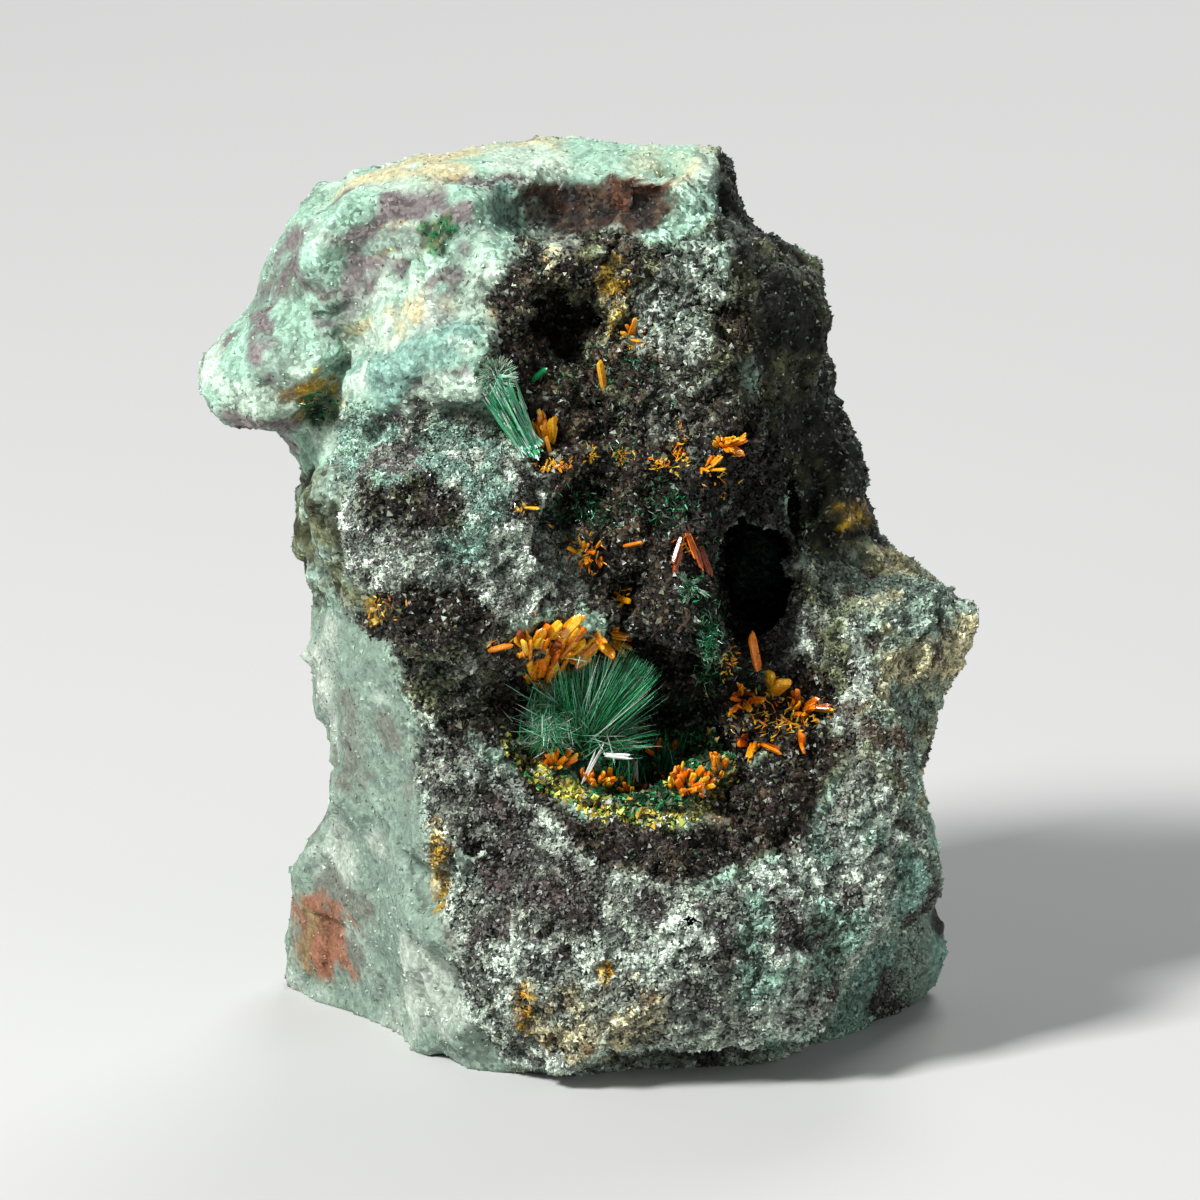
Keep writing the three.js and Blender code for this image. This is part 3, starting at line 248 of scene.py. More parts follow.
class Bundle(NamedTuple):
    """Needles that leave one root between two turns from the right, in degrees."""
    turn: tuple
    count: int
    length: float
    out: tuple  # how far they lean towards the viewer
    spread: float  # half width of the root
    even: float = 0.55  # shortest needle as a share of the length
    clumps: int = 0  # how many directions they share, 0 for each its own


class Sheaf(NamedTuple):
    """Bundles from one place, which may stand off the rock to the right, up and out."""
    at: tuple
    bundles: list
    offset: tuple = (0, 0, 0)
    crusted: bool = False  # whether it stands on the crust


class Cluster(NamedTuple):
    """Flat crystals over an oval patch of the front, as in the part's source."""
    name: str
    at: tuple
    patch: tuple
    count: int
    length: float
    width: float
    seed: int
    lean: tuple = (0, 0)
    fan: float = 0.9  # how far they spread
    out: float = 0.7
    split: int = 0  # how many thin crystals each is drawn as, 0 for the usual number
    shares: tuple = (38, 24, 31, 7)
    crusted: bool = False
    fine: bool = False


SPRAY = Sheaf((0.1, 14), [
    Bundle((40, 70), 900, 4.15, (0.3, 0.85), 0.4, 0.62, 34),
    Bundle((62, 104), 560, 3.4, (0.35, 0.9), 0.5, 0.5, 26),
    Bundle((95, 140), 260, 2.6, (0.3, 0.9), 0.6, clumps=18),
    Bundle((150, 200), 90, 1.9, (0.3, 0.7), 0.6),
    Bundle((4, 40), 170, 2.9, (0.3, 0.7), 0.4, clumps=12),
])
SPRAY_GLINTS = Sheaf((0.1, 14), [
    Bundle((36, 90), 80, 4.25, (0.5, 0.95), 0.5, 0.75),
    Bundle((0, 36), 14, 3.3, (0.4, 0.7), 0.5),
    Bundle((95, 170), 40, 2.7, (0.4, 0.9), 0.7),
])
FAN = Sheaf((-2.05, 26.9), [
    Bundle((110, 125), 420, 2.8, (0.1, 0.5), 0.36, 0.8, 16),
    Bundle((108, 127), 300, 2.6, (0.4, 0.8), 0.36, 0.35, 16),
    Bundle((-70, -40), 60, 0.45, (0.1, 0.6), 0.34),
], (0, 0, 0.7))
FAN_MIDDLE = Sheaf((-2.05, 26.9), [Bundle((106, 128), 260, 1.5, (0.1, 0.6), 0.45, 0.4, 14)],
                   (-0.55, 1.2, 1.5))
FAN_HEAD = Sheaf((-2.05, 26.9), [Bundle((-20, 250), 620, 0.74, (-0.2, 1.2), 0.2, 0.8)],
                 (-1.2, 2.65, 1.9))
POCKET_NEEDLES = [
    Sheaf((2.7, 12.6), [Bundle((68, 112), 110, 1.6, (0.1, 0.6), 0.7)], crusted=True),
    Sheaf((3.9, 12.7), [Bundle((66, 108), 90, 1.5, (0.1, 0.6), 0.7)], crusted=True),
    Sheaf((1.6, 12.9), [Bundle((60, 120), 60, 1, (0.1, 0.7), 0.6)], crusted=True),
]
WHITE_BLADES = [
    Sheaf((0.3, 12.8), [Bundle((58, 68), 3, 1.4, (0.1, 0.3), 0.1)], (0, 0, 0.3), True),
    Sheaf((1.3, 13.7), [Bundle((-10, 2), 3, 1.2, (0, 0.2), 0.08)], (0, 0, 1.5), True),
    Sheaf((2.35, 12.9), [Bundle((86, 100), 4, 1.15, (0, 0.3), 0.12)], (0, 0, 0.9), True),
]
MALACHITE = [
    Cluster("malachite_blade", (-1.7, 29.6), (0.1, 0.1), 1, 0.95, 0.3, 3, (1.6, 0.4),
            shares=(36, 24, 20, 20)),
    Cluster("malachite_tuft", (4.6, 20.8), (0.4, 0.35), 6, 0.6, 0.09, 5, split=40,
            shares=(36, 24, 20, 20), fine=True),
]
KASOLITE = [
    Cluster("kasolite_roof_cluster", (-0.95, 17.8), (1.4, 1.2), 19, 1.1, 0.56, 2, (0.35, 0.3),
            0.5, split=6),
    Cluster("kasolite_roof_right", (1.1, 18.6), (0.55, 0.35), 5, 1, 0.42, 4, (0.6, -0.6), 0.7,
            split=4),
    Cluster("kasolite_left_blade", (-3.5, 18.2), (0.1, 0.1), 1, 0.75, 0.4, 6, (0.9, 0.6)),
    Cluster("kasolite_beside_fan", (-1.3, 27.1), (0.22, 0.12), 4, 0.85, 0.42, 8, (0.1, 1.1),
            0.25, split=6, shares=(35, 5, 60, 0)),
    Cluster("kasolite_bowtie", (6.1, 26.8), (0.34, 0.16), 5, 0.6, 0.3, 2, (0.35, 0.05), 0.75,
            0.5, 8),
    Cluster("kasolite_strip", (5.4, 25.9), (0.45, 0.25), 4, 0.6, 0.3, 9, (0.8, 0.5)),
    Cluster("kasolite_upper_blade", (1, 29.3), (0.1, 0.1), 1, 0.95, 0.36, 1, (-0.5, 0.9)),
    Cluster("kasolite_top_blades", (2.2, 31.3), (0.3, 0.25), 3, 0.7, 0.34, 3, (0.2, 0.2)),
    # These crystals are mostly dark amber as painted shade, for they hang in shade.
    Cluster("kasolite_hanging", (4.6, 22.6), (0.6, 0.3), 4, 1, 0.36, 7, (0.1, -1.5), 0.9, 0.1, 5,
            (3, 30, 0, 67)),
    Cluster("kasolite_middle_cluster", (0.4, 22.3), (0.6, 0.45), 6, 0.55, 0.24, 6, fan=0.6),
    Cluster("kasolite_small_blade", (2.05, 22.5), (0.1, 0.1), 1, 0.7, 0.28, 2, (1.5, -0.3)),
    Cluster("kasolite_druse_blade", (-2, 24.2), (0.1, 0.1), 1, 0.6, 0.22, 4, (1.5, 0.3)),
    Cluster("kasolite_low_blade", (1.7, 20.4), (0.1, 0.1), 1, 0.6, 0.26, 5, (1.4, 0.1)),
    Cluster("kasolite_prism", (7.3, 17.5), (0.1, 0.1), 1, 1.15, 0.5, 1, (-0.75, 1.9), out=0.5,
            shares=(25, 60, 0, 15)),
    Cluster("kasolite_shelf_block", (8, 16.4), (0.1, 0.1), 2, 0.9, 0.6, 6, (0.1, 0.6)),
    Cluster("kasolite_shelf_left", (6.7, 16), (0.45, 0.5), 5, 0.65, 0.34, 3, fan=0.6,
            shares=(28, 34, 16, 22)),
    Cluster("kasolite_shelf_right", (9.3, 15.7), (0.7, 0.3), 6, 0.75, 0.36, 5, (0.4, 0.3), 0.6,
            shares=(24, 36, 14, 26)),
    Cluster("kasolite_shelf_front", (7.3, 14), (0.5, 0.4), 4, 0.8, 0.42, 8, (0.2, -0.3), 0.6,
            shares=(24, 36, 10, 30)),
    Cluster("kasolite_lip_blade", (9.2, 14.2), (0.2, 0.1), 2, 0.55, 0.34, 2, (0.3, 0.2)),
]
POCKET_BLADES = [
    Cluster("", at, patch, count, length, width, seed, (0.1, 0.55), 0.45, 0.75, crusted=True)
    for at, patch, count, length, width, seed in (
        ((-0.9, 13.4), (0.7, 0.25), 8, 0.6, 0.34, 3), ((0.8, 12.6), (0.6, 0.25), 9, 0.6, 0.34, 5),
        ((2.1, 12.2), (0.5, 0.2), 6, 0.5, 0.28, 9), ((4.5, 12.5), (0.9, 0.45), 16, 0.62, 0.4, 7),
        ((3.6, 13.8), (0.6, 0.3), 6, 0.5, 0.3, 4), ((5.7, 13.2), (0.25, 0.4), 5, 0.5, 0.3, 8))
]
POCKET_BLADES.append(Cluster("", (-1.4, 17), (0.7, 0.6), 15, 0.8, 0.42, 6, (0.2, 0.5), 0.4, 0.9,
                             crusted=True))
# Pale needles that lie across each other left of the spray: middle, half sizes, count, length
# and how far they stand off the rock.
TANGLE = [
    ((-0.7, 15.9), (0.9, 0.8), 520, 0.75, (1, 2.8)), ((-1.3, 14.9), (0.7, 0.7), 400, 0.6, (1, 2.6)),
    ((0.3, 17.1), (0.7, 0.5), 120, 0.6, (1.2, 2.8)), ((1.6, 14.3), (0.9, 0.8), 90, 0.8, (0.6, 2.2)),
]
# Small yellow and green crystals strewn over the rock: middle, half sizes, count and length.
FLECKS = [
    ((-0.9, 26), (0.7, 0.3), 52, 0.14), ((2, 26.4), (0.4, 0.4), 36, 0.14),
    ((3.2, 26), (0.5, 0.25), 40, 0.14), ((0.6, 26.4), (0.2, 0.3), 18, 0.2),
    ((4.2, 26.5), (0.3, 0.9), 52, 0.18), ((0.3, 22.4), (0.9, 0.9), 44, 0.2),
    ((1.7, 20.4), (0.6, 0.4), 16, 0.2), ((-2.2, 24.2), (0.5, 0.3), 12, 0.2),
    ((2.3, 31.3), (0.6, 0.6), 20, 0.2), ((-7.9, 20), (0.5, 0.6), 24, 0.16),
    ((1.2, 4.6), (0.3, 0.4), 20, 0.16), ((-2.2, 3.3), (0.4, 1), 28, 0.14),
    ((-11, 29.1), (0.7, 0.6), 44, 0.1), ((-7.2, 35.5), (1, 0.6), 24, 0.1),
    ((5.6, 25), (0.6, 0.6), 24, 0.18), ((7.5, 15.5), (1.6, 1.4), 92, 0.2),
    ((4.6, 22.6), (0.7, 0.5), 12, 0.3), ((-0.8, 18), (1.4, 1.1), 80, 0.3),
    ((9.2, 15.2), (0.9, 0.6), 48, 0.2), ((-3.3, 18.3), (0.4, 0.4), 6, 0.2),
    ((1.6, 34), (0.6, 1), 32, 0.14), ((6.2, 17.6), (0.4, 0.8), 36, 0.14),
]
GREEN_FLECKS = [
    ((0.4, 24), (1.6, 1.2), 260, 0.15), ((1.5, 30.4), (1.6, 1), 160, 0.15),
    ((4.6, 20.8), (0.5, 0.5), 90, 0.2), ((5.4, 18.4), (0.45, 1.9), 420, 0.2),
    ((3.6, 24.4), (1.2, 1), 160, 0.15), ((-10.5, 28.6), (0.9, 0.8), 120, 0.16),
    ((-5.7, 35.6), (0.7, 0.7), 120, 0.16), ((5.6, 22.4), (0.6, 0.8), 90, 0.16),
    ((0.2, 29.4), (1.2, 0.8), 90, 0.14), ((7.6, 16.8), (1, 1), 90, 0.16),
    ((1.9, 26.6), (0.5, 0.5), 90, 0.16), ((4.4, 28.6), (0.8, 0.8), 60, 0.16),
]

rng = np.random.default_rng(37)


def linear(name):
    """A named colour as linear light."""
    srgb = np.array(COLOURS[name]) / 255
    return np.where(srgb < 0.04045, srgb / 12.92, ((srgb + 0.055) / 1.055) ** 2.4)


def smoothstep(low, high, value):
    share = np.clip((value - low) / (high - low), 0, 1)
    return share * share * (3 - 2 * share)


def chance(cells, which):
    """A number from 0 to 1 for each cell of whole numbers, always the same."""
    whole = cells.astype(np.int64).astype(np.uint32)
    mixed = whole[..., 0] * np.uint32(73856093) ^ whole[..., 1] * np.uint32(19349663)
    mixed ^= whole[..., 2] * np.uint32(83492791) ^ np.uint32((which * 40503 + 977) % 2**32)
    for shift, factor in ((15, 2246822519), (13, 3266489917)):
        mixed = (mixed ^ (mixed >> np.uint32(shift))) * np.uint32(factor)
    return (mixed ^ (mixed >> np.uint32(16))) / 2**32


def noise(points, across, which=0, octaves=1):
    """Smooth noise from -1 to 1 that changes over `across`."""
    total, strength, most = 0, 1, 0
    for octave in range(octaves):
        place = points / (across / 2**octave)
        cell = np.floor(place)
        share = place - cell
        share = share * share * (3 - 2 * share)
        value = 0
        for corner in itertools.product((0, 1), repeat=3):
            weight = np.prod(np.where(corner, share, 1 - share), axis=-1)
            value += weight * chance(cell + corner, which + 31 * octave)
        total += strength * (2 * value - 1)
        most += strength
        strength *= 0.5
    return total / most * 1.5


def chips(points, across, which=0):
    """Distance to the nearest cell point, how far the cell's edge is, and the cell's tilt."""
    place = points / across
    cell = np.floor(place)
    nearest = np.full(len(points), np.inf)
    second = nearest.copy()
    tilt = np.zeros(len(points))
    for step in itertools.product((-1, 0, 1), repeat=3):
        near = cell + step
        away = place - near - np.stack([chance(near, which + axis) for axis in range(3)], -1)
        distance = np.linalg.norm(away, axis=-1)
        slope = np.stack([chance(near, which + 3 + axis) for axis in range(3)], -1) - 0.5
        height = (away * slope).sum(-1) * 1.6 + 0.5 * (chance(near, which + 6) - 0.5)
        closer = distance < nearest
        second = np.where(closer, nearest, np.minimum(second, distance))
        tilt = np.where(closer, height, tilt)
        nearest = np.where(closer, distance, nearest)
    return nearest, second - nearest, tilt


def seen(points):
    """x and seen height of points, as the outline gives them."""
    moved = points - OUTLINE_ORIGIN
    return moved[:, 0], moved[:, 2] + (moved[:, 1] - FRONT_FOOT_Y) * math.tan(VIEW_TILT)


def path_distance(path, x, height):
    """Distance to the line through the places of a path."""
    nearest = np.full(len(x), np.inf)
    for (ax, ay), (bx, by) in zip(path, path[1:]):
        ex, ey = bx - ax, by - ay
        along = np.clip(((x - ax) * ex + (height - ay) * ey) / (ex * ex + ey * ey), 0, 1)
        nearest = np.minimum(nearest, np.hypot(x - ax - ex * along, height - ay - ey * along))
    return nearest


def ring_distance(ring, x, height):
    """Distance to a closed outline, below zero inside it."""
    closed = ring + ring[:1]
    inside = np.zeros(len(x), bool)
    for (ax, ay), (bx, by) in zip(closed, closed[1:]):
        crosses = (ay > height) != (by > height)
        inside ^= crosses & (x < (bx - ax) * (height - ay) / (by - ay or 1) + ax)
    nearest = path_distance(closed, x, height)
    return np.where(inside, -nearest, nearest)


def inside_box(points):
    """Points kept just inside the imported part's box."""
    low, high = (np.array(corner) / MM for corner in CAD_BOX)
    return np.clip(points, low + 0.002, high - 0.002)


def node_arrays(name):
    """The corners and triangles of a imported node, in millimetres."""
    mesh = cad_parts[name].data
    mesh.calc_loop_triangles()
    points = np.empty(len(mesh.vertices) * 3)
    mesh.vertices.foreach_get("co", points)
    triangles = np.empty(len(mesh.loop_triangles) * 3, np.int32)
    mesh.loop_triangles.foreach_get("vertices", triangles)
    return points.reshape(-1, 3) / MM, triangles.reshape(-1, 3)


def add_object(name, points, faces, material, nodes=(), tone=None, speck=None, smooth=False):
    """One piece of the specimen from arrays, with a colour and a strength of specks per point."""
    mesh = bpy.data.meshes.new(name)
    faces = np.asarray(faces)
    mesh.vertices.add(len(points))
    mesh.vertices.foreach_set("co", (inside_box(points) * MM).ravel())
    mesh.loops.add(faces.size)
    mesh.loops.foreach_set("vertex_index", faces.ravel().astype(np.int32))
    mesh.polygons.add(len(faces))
    mesh.polygons.foreach_set("loop_start", np.arange(len(faces), dtype=np.int32) * faces.shape[1])
    mesh.polygons.foreach_set("use_smooth", np.full(len(faces), smooth))
    mesh.update(calc_edges=True)
    if tone is not None:
        attribute = mesh.color_attributes.new("tone", "FLOAT_COLOR", "POINT")
        attribute.data.foreach_set("color", np.column_stack((tone, np.ones(len(tone)))).ravel())
    if speck is not None:
        mesh.attributes.new("speck", "FLOAT", "POINT").data.foreach_set("value", speck)
    mesh.materials.append(material)
    piece = bpy.data.objects.new(name, mesh)
    bpy.context.scene.collection.objects.link(piece)
    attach(piece, "root")
    if nodes:
        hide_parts(*nodes)
    return piece


def remeshed(name, voxel):
    """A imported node's shape as even four-sided faces: points and faces in millimetres."""
    points, triangles = node_arrays(name)
    mesh = bpy.data.meshes.new("draft")
    mesh.from_pydata(points.tolist(), [], triangles.tolist())
    draft = bpy.data.objects.new("draft", mesh)
    bpy.context.scene.collection.objects.link(draft)
    modifier = draft.modifiers.new("even", "REMESH")
    modifier.mode = "VOXEL"
    modifier.voxel_size = voxel
    made = bpy.data.meshes.new_from_object(draft.evaluated_get(bpy.context.evaluated_depsgraph_get()))
    points = np.empty(len(made.vertices) * 3)
    made.vertices.foreach_get("co", points)
    faces = np.empty(len(made.loops), np.int32)
    made.loops.foreach_get("vertex_index", faces)
    bpy.data.objects.remove(draft)
    for leftover in (mesh, made):
        bpy.data.meshes.remove(leftover)
    return points.reshape(-1, 3), faces.reshape(-1, 4)


def normals_of(points, faces):
    """Unit normals at the points of a mesh of four-sided faces."""
    corner = points[faces]
    face_normal = np.cross(corner[:, 2] - corner[:, 0], corner[:, 3] - corner[:, 1])
    normal = np.zeros_like(points)
    for axis in range(3):
        weights = np.repeat(face_normal[:, axis], 4)
        normal[:, axis] = np.bincount(faces.ravel(), weights, len(points))
    return normal / np.maximum(np.linalg.norm(normal, axis=1, keepdims=True), 1e-9)


def smoothed(values, faces, rounds):
    """Values at the points of a mesh, averaged with their neighbours."""
    count = np.bincount(faces.ravel(), minlength=len(values)).clip(1)
    for _ in range(rounds):
        of_face = values[faces].mean(axis=1)
        columns = [np.bincount(faces.ravel(), np.repeat(column, 4), len(values)) / count
                   for column in of_face.reshape(len(faces), -1).T]
        values = np.stack(columns, -1).reshape(values.shape)
    return values


def blended(tones, points, patch, which):
    """Three colours mixed in patches."""
    first, second, third = (linear(name) for name in tones)
    wide = smoothstep(-0.25, 0.35, noise(points, patch, which, 3))[:, None]
    rare = smoothstep(0.15, 0.5, noise(points, patch * 0.8, which + 5, 3))[:, None]
    colour = first * (1 - wide) + second * wide
    return colour * (1 - rare) + third * rare


def zone_shares(points, normal):
    """For each zone and spot, how far each point belongs to it, from 0 to 1."""
    x, height = seen(points)
    back = points[:, 1] + 2.5 * noise(points, 3.5, 50, 3)
    front = smoothstep(6.5, 4, back) * smoothstep(-0.35, 0.1, normal @ TOWARDS)
    warp = noise(points, 1.6, 3, 2) * 0.5
    shares = {}
    for zone in ZONES:
        inward = warp - ring_distance(zone.ring, x, height)
        shares[zone.name] = front * smoothstep(-0.3, 0.3, inward)
    for spot in SPOTS:
        (cx, cy), (a, b) = spot.middle, spot.half
        reach = np.hypot((x - cx) / a, (height - cy) / b) + 0.5 * noise(points, 0.9, 8, 2)
        shares[spot.name] = front * smoothstep(1.15, 0.8, reach)
    return shares


def kinds(shares):
    """How drusy and how sandy each point is, from 0 to 1."""
    drusy = np.clip(sum(shares[name] for name in DRUSY), 0, 1)
    return drusy, np.clip(sum(shares[name] for name in SANDY), 0, 1) * (1 - drusy)


def rock_colour(points, shares, dip):
    """Colour and strength of specks at each point, with painted shade in the dips and painted
    highlight on the edges.
    """
    colour = blended(("flank", "seafoam", "grey"), points, 4.2, 40)
    earthy = smoothstep(0.1, 0.5, noise(points, 5.5, 60, 3))[:, None]
    colour = colour * (1 - earthy) + blended(("moss", "mauve", "tan"), points, 2, 70) * earthy
    speck = np.full(len(points), 0.6)
    for start, areas in ((80, ZONES), (120, SPOTS)):
        for which, area in enumerate(areas, start):
            share = shares[area.name][:, None]
            own = blended(area.tones, points, area.patch, which)
            colour = colour * (1 - share) + own * share
    for zone in ZONES:
        share = shares[zone.name]
        speck = speck * (1 - share) + zone.speck * share
    colour = colour * (1 + speck * 0.5 * noise(points, 0.7, 150, 2))[:, None]
    strength = (0.2 + 0.8 * speck)[:, None]
    # Painted shade darkens the dips and painted highlight lightens the edges.
    dip_shade = smoothstep(0.0, 0.08, -dip)[:, None] * strength
    edge_highlight = smoothstep(0.0, 0.1, dip)[:, None] * strength
    return np.clip(colour * (1 - 0.75 * dip_shade) * (1 + 0.6 * edge_highlight), 0, 1), speck


def rock_displacement(points, shares):
    """How far the surface stands out or in at each point."""
    drusy, sandy = kinds(shares)
    relief = np.full(len(points), 0.6)
    for zone in ZONES:
        relief += (zone.relief - relief) * shares[zone.name]
    bent = points + 0.3 * np.stack([noise(points, 1.4, 180 + axis) for axis in range(3)], -1)
    _, _, broad = chips(bent, 3.8, 190)
    move = 0.45 * broad * np.maximum(relief, 0.7) + 0.05 * noise(points, 0.9, 260, 3)
    for across, depth, which in ((1.6, 0.3, 200), (0.8, 0.16, 210)):
        _, crack, tilt = chips(bent, across, which)
        move += relief * (depth * tilt - 0.07 * smoothstep(0.12, 0, crack))
    near, _, _ = chips(bent, 0.6, 220)
    lump_near, _, _ = chips(bent, 1.1, 240)
    move += drusy * relief * (0.42 * (0.5 - near) + 0.3 * (0.5 - lump_near)
                              + 0.2 * noise(points, 0.6, 270, 2) - 0.1)
    move += sandy * relief * (0.16 * (0.55 - lump_near) + 0.16 * noise(points, 0.6, 280, 3))
    return move * smoothstep(0.05, 0.8, points[:, 2])


class Looks:
    """A material, and the shader nodes that it is put together from."""

    def __init__(self, name):
        self.material = bpy.data.materials.new(name)
        self.material.use_nodes = True
        self.nodes = self.material.node_tree.nodes
        self.links = self.material.node_tree.links
        self.shader = self.nodes["Principled BSDF"]

    def place(self):
        """Object coordinates in millimetres."""
        place = self.nodes.new("ShaderNodeTexCoord")
        mapping = self.nodes.new("ShaderNodeMapping")
        mapping.inputs["Scale"].default_value = (1 / MM,) * 3
        self.links.new(place.outputs["Object"], mapping.inputs["Vector"])
        return mapping.outputs["Vector"]

    def noise(self, place, per_mm, detail=3.0, roughness=0.6):
        node = self.nodes.new("ShaderNodeTexNoise")
        node.inputs["Scale"].default_value = per_mm
        node.inputs["Detail"].default_value = detail
        node.inputs["Roughness"].default_value = roughness
        self.links.new(place, node.inputs["Vector"])
        return node.outputs["Fac"]

    def ranged(self, value, low, high, to_low, to_high):
        """A value moved from one range to another and kept within it."""
        node = self.nodes.new("ShaderNodeMapRange")
        for socket, number in zip(node.inputs[1:5], (low, high, to_low, to_high)):
            socket.default_value = number
        self.links.new(value, node.inputs["Value"])
        return node.outputs["Result"]

    def maths(self, operation, *values):
        """A number worked out from others, each fixed or linked."""
        node = self.nodes.new("ShaderNodeMath")
        node.operation = operation
        for socket, value in zip(node.inputs, values):
            if isinstance(value, (int, float)):
                socket.default_value = value
            else:
                self.links.new(value, socket)
        return node.outputs[0]

    def vectors(self, operation, first, second):
        """A vector worked out from two others."""
        node = self.nodes.new("ShaderNodeVectorMath")
        node.operation = operation
        self.links.new(first, node.inputs[0])
        if isinstance(second, tuple):
            node.inputs[1].default_value = second
        else:
            self.links.new(second, node.inputs[1])
        return node.outputs["Value" if operation == "DOT_PRODUCT" else "Vector"]

    def cells(self, place, per_mm):
        """A random value for each of many small cells, and the height of its tilted face in mm."""
        node = self.nodes.new("ShaderNodeTexVoronoi")
        node.inputs["Scale"].default_value = per_mm
        self.links.new(place, node.inputs["Vector"])
        parts = self.nodes.new("ShaderNodeSeparateColor")
        self.links.new(node.outputs["Color"], parts.inputs["Color"])
        away = self.vectors("SUBTRACT", place, node.outputs["Position"])
        slope = self.vectors("SUBTRACT", node.outputs["Color"], (0.5, 0.5, 0.5))
        return parts.outputs["Red"], self.vectors("DOT_PRODUCT", away, slope)

    def paint(self, factor):
        """Uses the colours that the mesh holds, darker or lighter by a factor."""
        tone = self.nodes.new("ShaderNodeVertexColor")
        tone.layer_name = "tone"
        scaled = self.nodes.new("ShaderNodeVectorMath")
        scaled.operation = "SCALE"
        self.links.new(tone.outputs["Color"], scaled.inputs["Vector"])
        self.links.new(factor, scaled.inputs["Scale"])
        self.links.new(scaled.outputs["Vector"], self.shader.inputs["Base Color"])

    def bump(self, height, distance):
        node = self.nodes.new("ShaderNodeBump")
        node.inputs["Distance"].default_value = distance * MM
        node.inputs["Strength"].default_value = 1.0
        self.links.new(height, node.inputs["Height"])
        self.links.new(node.outputs["Normal"], self.shader.inputs["Normal"])

    def rough(self, value):
        self.links.new(value, self.shader.inputs["Roughness"])

    def fixed(self, name, value):
        self.shader.inputs[name].default_value = value


def rock_material():
    """Stone in the mesh's colours, with crisp dark and pale specks and tiny tilted faces."""
    looks = Looks("rock")
    place = looks.place()
    speck = looks.nodes.new("ShaderNodeAttribute")
    speck.attribute_name = "speck"
    strength = speck.outputs["Fac"]
    grain, face = looks.cells(place, 6.0)
    _, chip_face = looks.cells(place, 2.6)
    fine = looks.noise(place, 3.2, 5.0, 0.75)
    mixture = looks.maths("ADD", looks.maths("MULTIPLY", grain, 0.4),
                          looks.maths("MULTIPLY", fine, 0.6))
    contrast = looks.ranged(mixture, 0.32, 0.68, 0.12, 2.1)
    pores = looks.ranged(looks.noise(place, 1.7, 4.0, 0.7), 0.36, 0.44, 0.35, 1.0)
    step = looks.maths("SUBTRACT", looks.maths("MULTIPLY", contrast, pores), 1.0)
    looks.paint(looks.maths("MULTIPLY_ADD", step, strength, 1.0))
    looks.rough(looks.ranged(grain, 0.0, 1.0, 0.85, 0.4))
    bumps = looks.maths("MULTIPLY_ADD", face, 1.3, looks.maths("MULTIPLY", chip_face, 0.7))
    bumps = looks.maths("MULTIPLY_ADD", fine, 0.16, bumps)
    strength = looks.maths("MULTIPLY_ADD", strength, 0.7, 0.3)
    looks.bump(looks.maths("MULTIPLY", bumps, strength), 1.0)
    looks.fixed("Specular IOR Level", 0.35)
    return looks.material


def speckled_material(name, rough, bump, specks, fineness):
    """Grains in the mesh's own colours with fine specks, bumps and glints."""
    looks = Looks(name)
    place = looks.place()
    fine = looks.noise(place, fineness)
    sand = looks.noise(place, fineness * 2.3, 2.0)
    looks.paint(looks.ranged(fine, 0.36, 0.64, 1 - specks, 1 + specks))
    looks.rough(looks.ranged(sand, 0.35, 0.65, *rough))
    looks.bump(sand, bump)
    looks.fixed("Specular IOR Level", 0.4)
    return looks.material


def crystal_material(name, rough, clear, ior, streaks, glow=0.0):
    """Clear or silky crystals in the mesh's own colours, faintly streaked."""
    looks = Looks(name)
    place = looks.place()
    fine = looks.noise(place, 5.0)
    looks.paint(looks.ranged(fine, 0.35, 0.65, 1 - streaks, 1 + streaks))
    looks.rough(looks.ranged(fine, 0.3, 0.7, *rough))
    looks.bump(looks.noise(place, 9.0), 0.012)
    looks.fixed("Transmission Weight", clear)
    looks.fixed("IOR", ior)
    looks.fixed("Subsurface Weight", glow)
    looks.fixed("Subsurface Radius", (0.6 * MM, 0.3 * MM, 0.1 * MM))
    return looks.material


def sample_surface(points, faces, normal, weight, count):
    """Random places on a mesh, more where the weight is high: places, normals and their points."""
    corner = points[faces]
    area = np.linalg.norm(np.cross(corner[:, 2] - corner[:, 0], corner[:, 3] - corner[:, 1]), axis=1)
    chances = area * weight[faces].mean(axis=1)
    chosen = rng.choice(len(faces), count, p=chances / chances.sum())
    across, down = rng.random((2, count, 1))
    a, b, c, d = (corner[chosen, i] for i in range(4))
    place = (a * (1 - across) + b * across) * (1 - down) + (d * (1 - across) + c * across) * down
    return place, normal[faces[chosen, 0]], faces[chosen, 0]


def random_turns(count):
    """Rotation matrices spread evenly."""
    q = rng.normal(size=(count, 4))
    q /= np.linalg.norm(q, axis=1, keepdims=True)
    w, x, y, z = q.T
    rows = ((1 - 2 * (y * y + z * z), 2 * (x * y - w * z), 2 * (x * z + w * y)),
            (2 * (x * y + w * z), 1 - 2 * (x * x + z * z), 2 * (y * z - w * x)),
            (2 * (x * z - w * y), 2 * (y * z + w * x), 1 - 2 * (x * x + y * y)))
    return np.moveaxis(np.array(rows), -1, 0)


# A grain's corners, in its own sizes, and its four sides.
GRAIN_CORNERS = np.array(((1, 1, 1), (1, -1, -1), (-1, 1, -1), (-1, -1, 1))) * 0.75
GRAIN_SIDES = np.array(((0, 2, 1), (0, 1, 3), (0, 3, 2), (1, 2, 3)))


def grain_arrays(place, normal, size, lift):
    """Tiny four-faced chips at those places, each turned and stretched its own way."""
    count = len(place)
    scale = size[:, None] * rng.uniform(0.5, 1.4, (count, 3))
    shape = GRAIN_CORNERS[None] * scale[:, None]
    shape = shape + rng.normal(0, 0.15, (count, 4, 3)) * scale[:, None]
    shape = np.einsum("nij,nkj->nki", random_turns(count), shape)
    points = shape + (place + normal * (size * lift)[:, None])[:, None]
    faces = GRAIN_SIDES[None] + 4 * np.arange(count)[:, None, None]
    return points.reshape(-1, 3), faces.reshape(-1, 3)


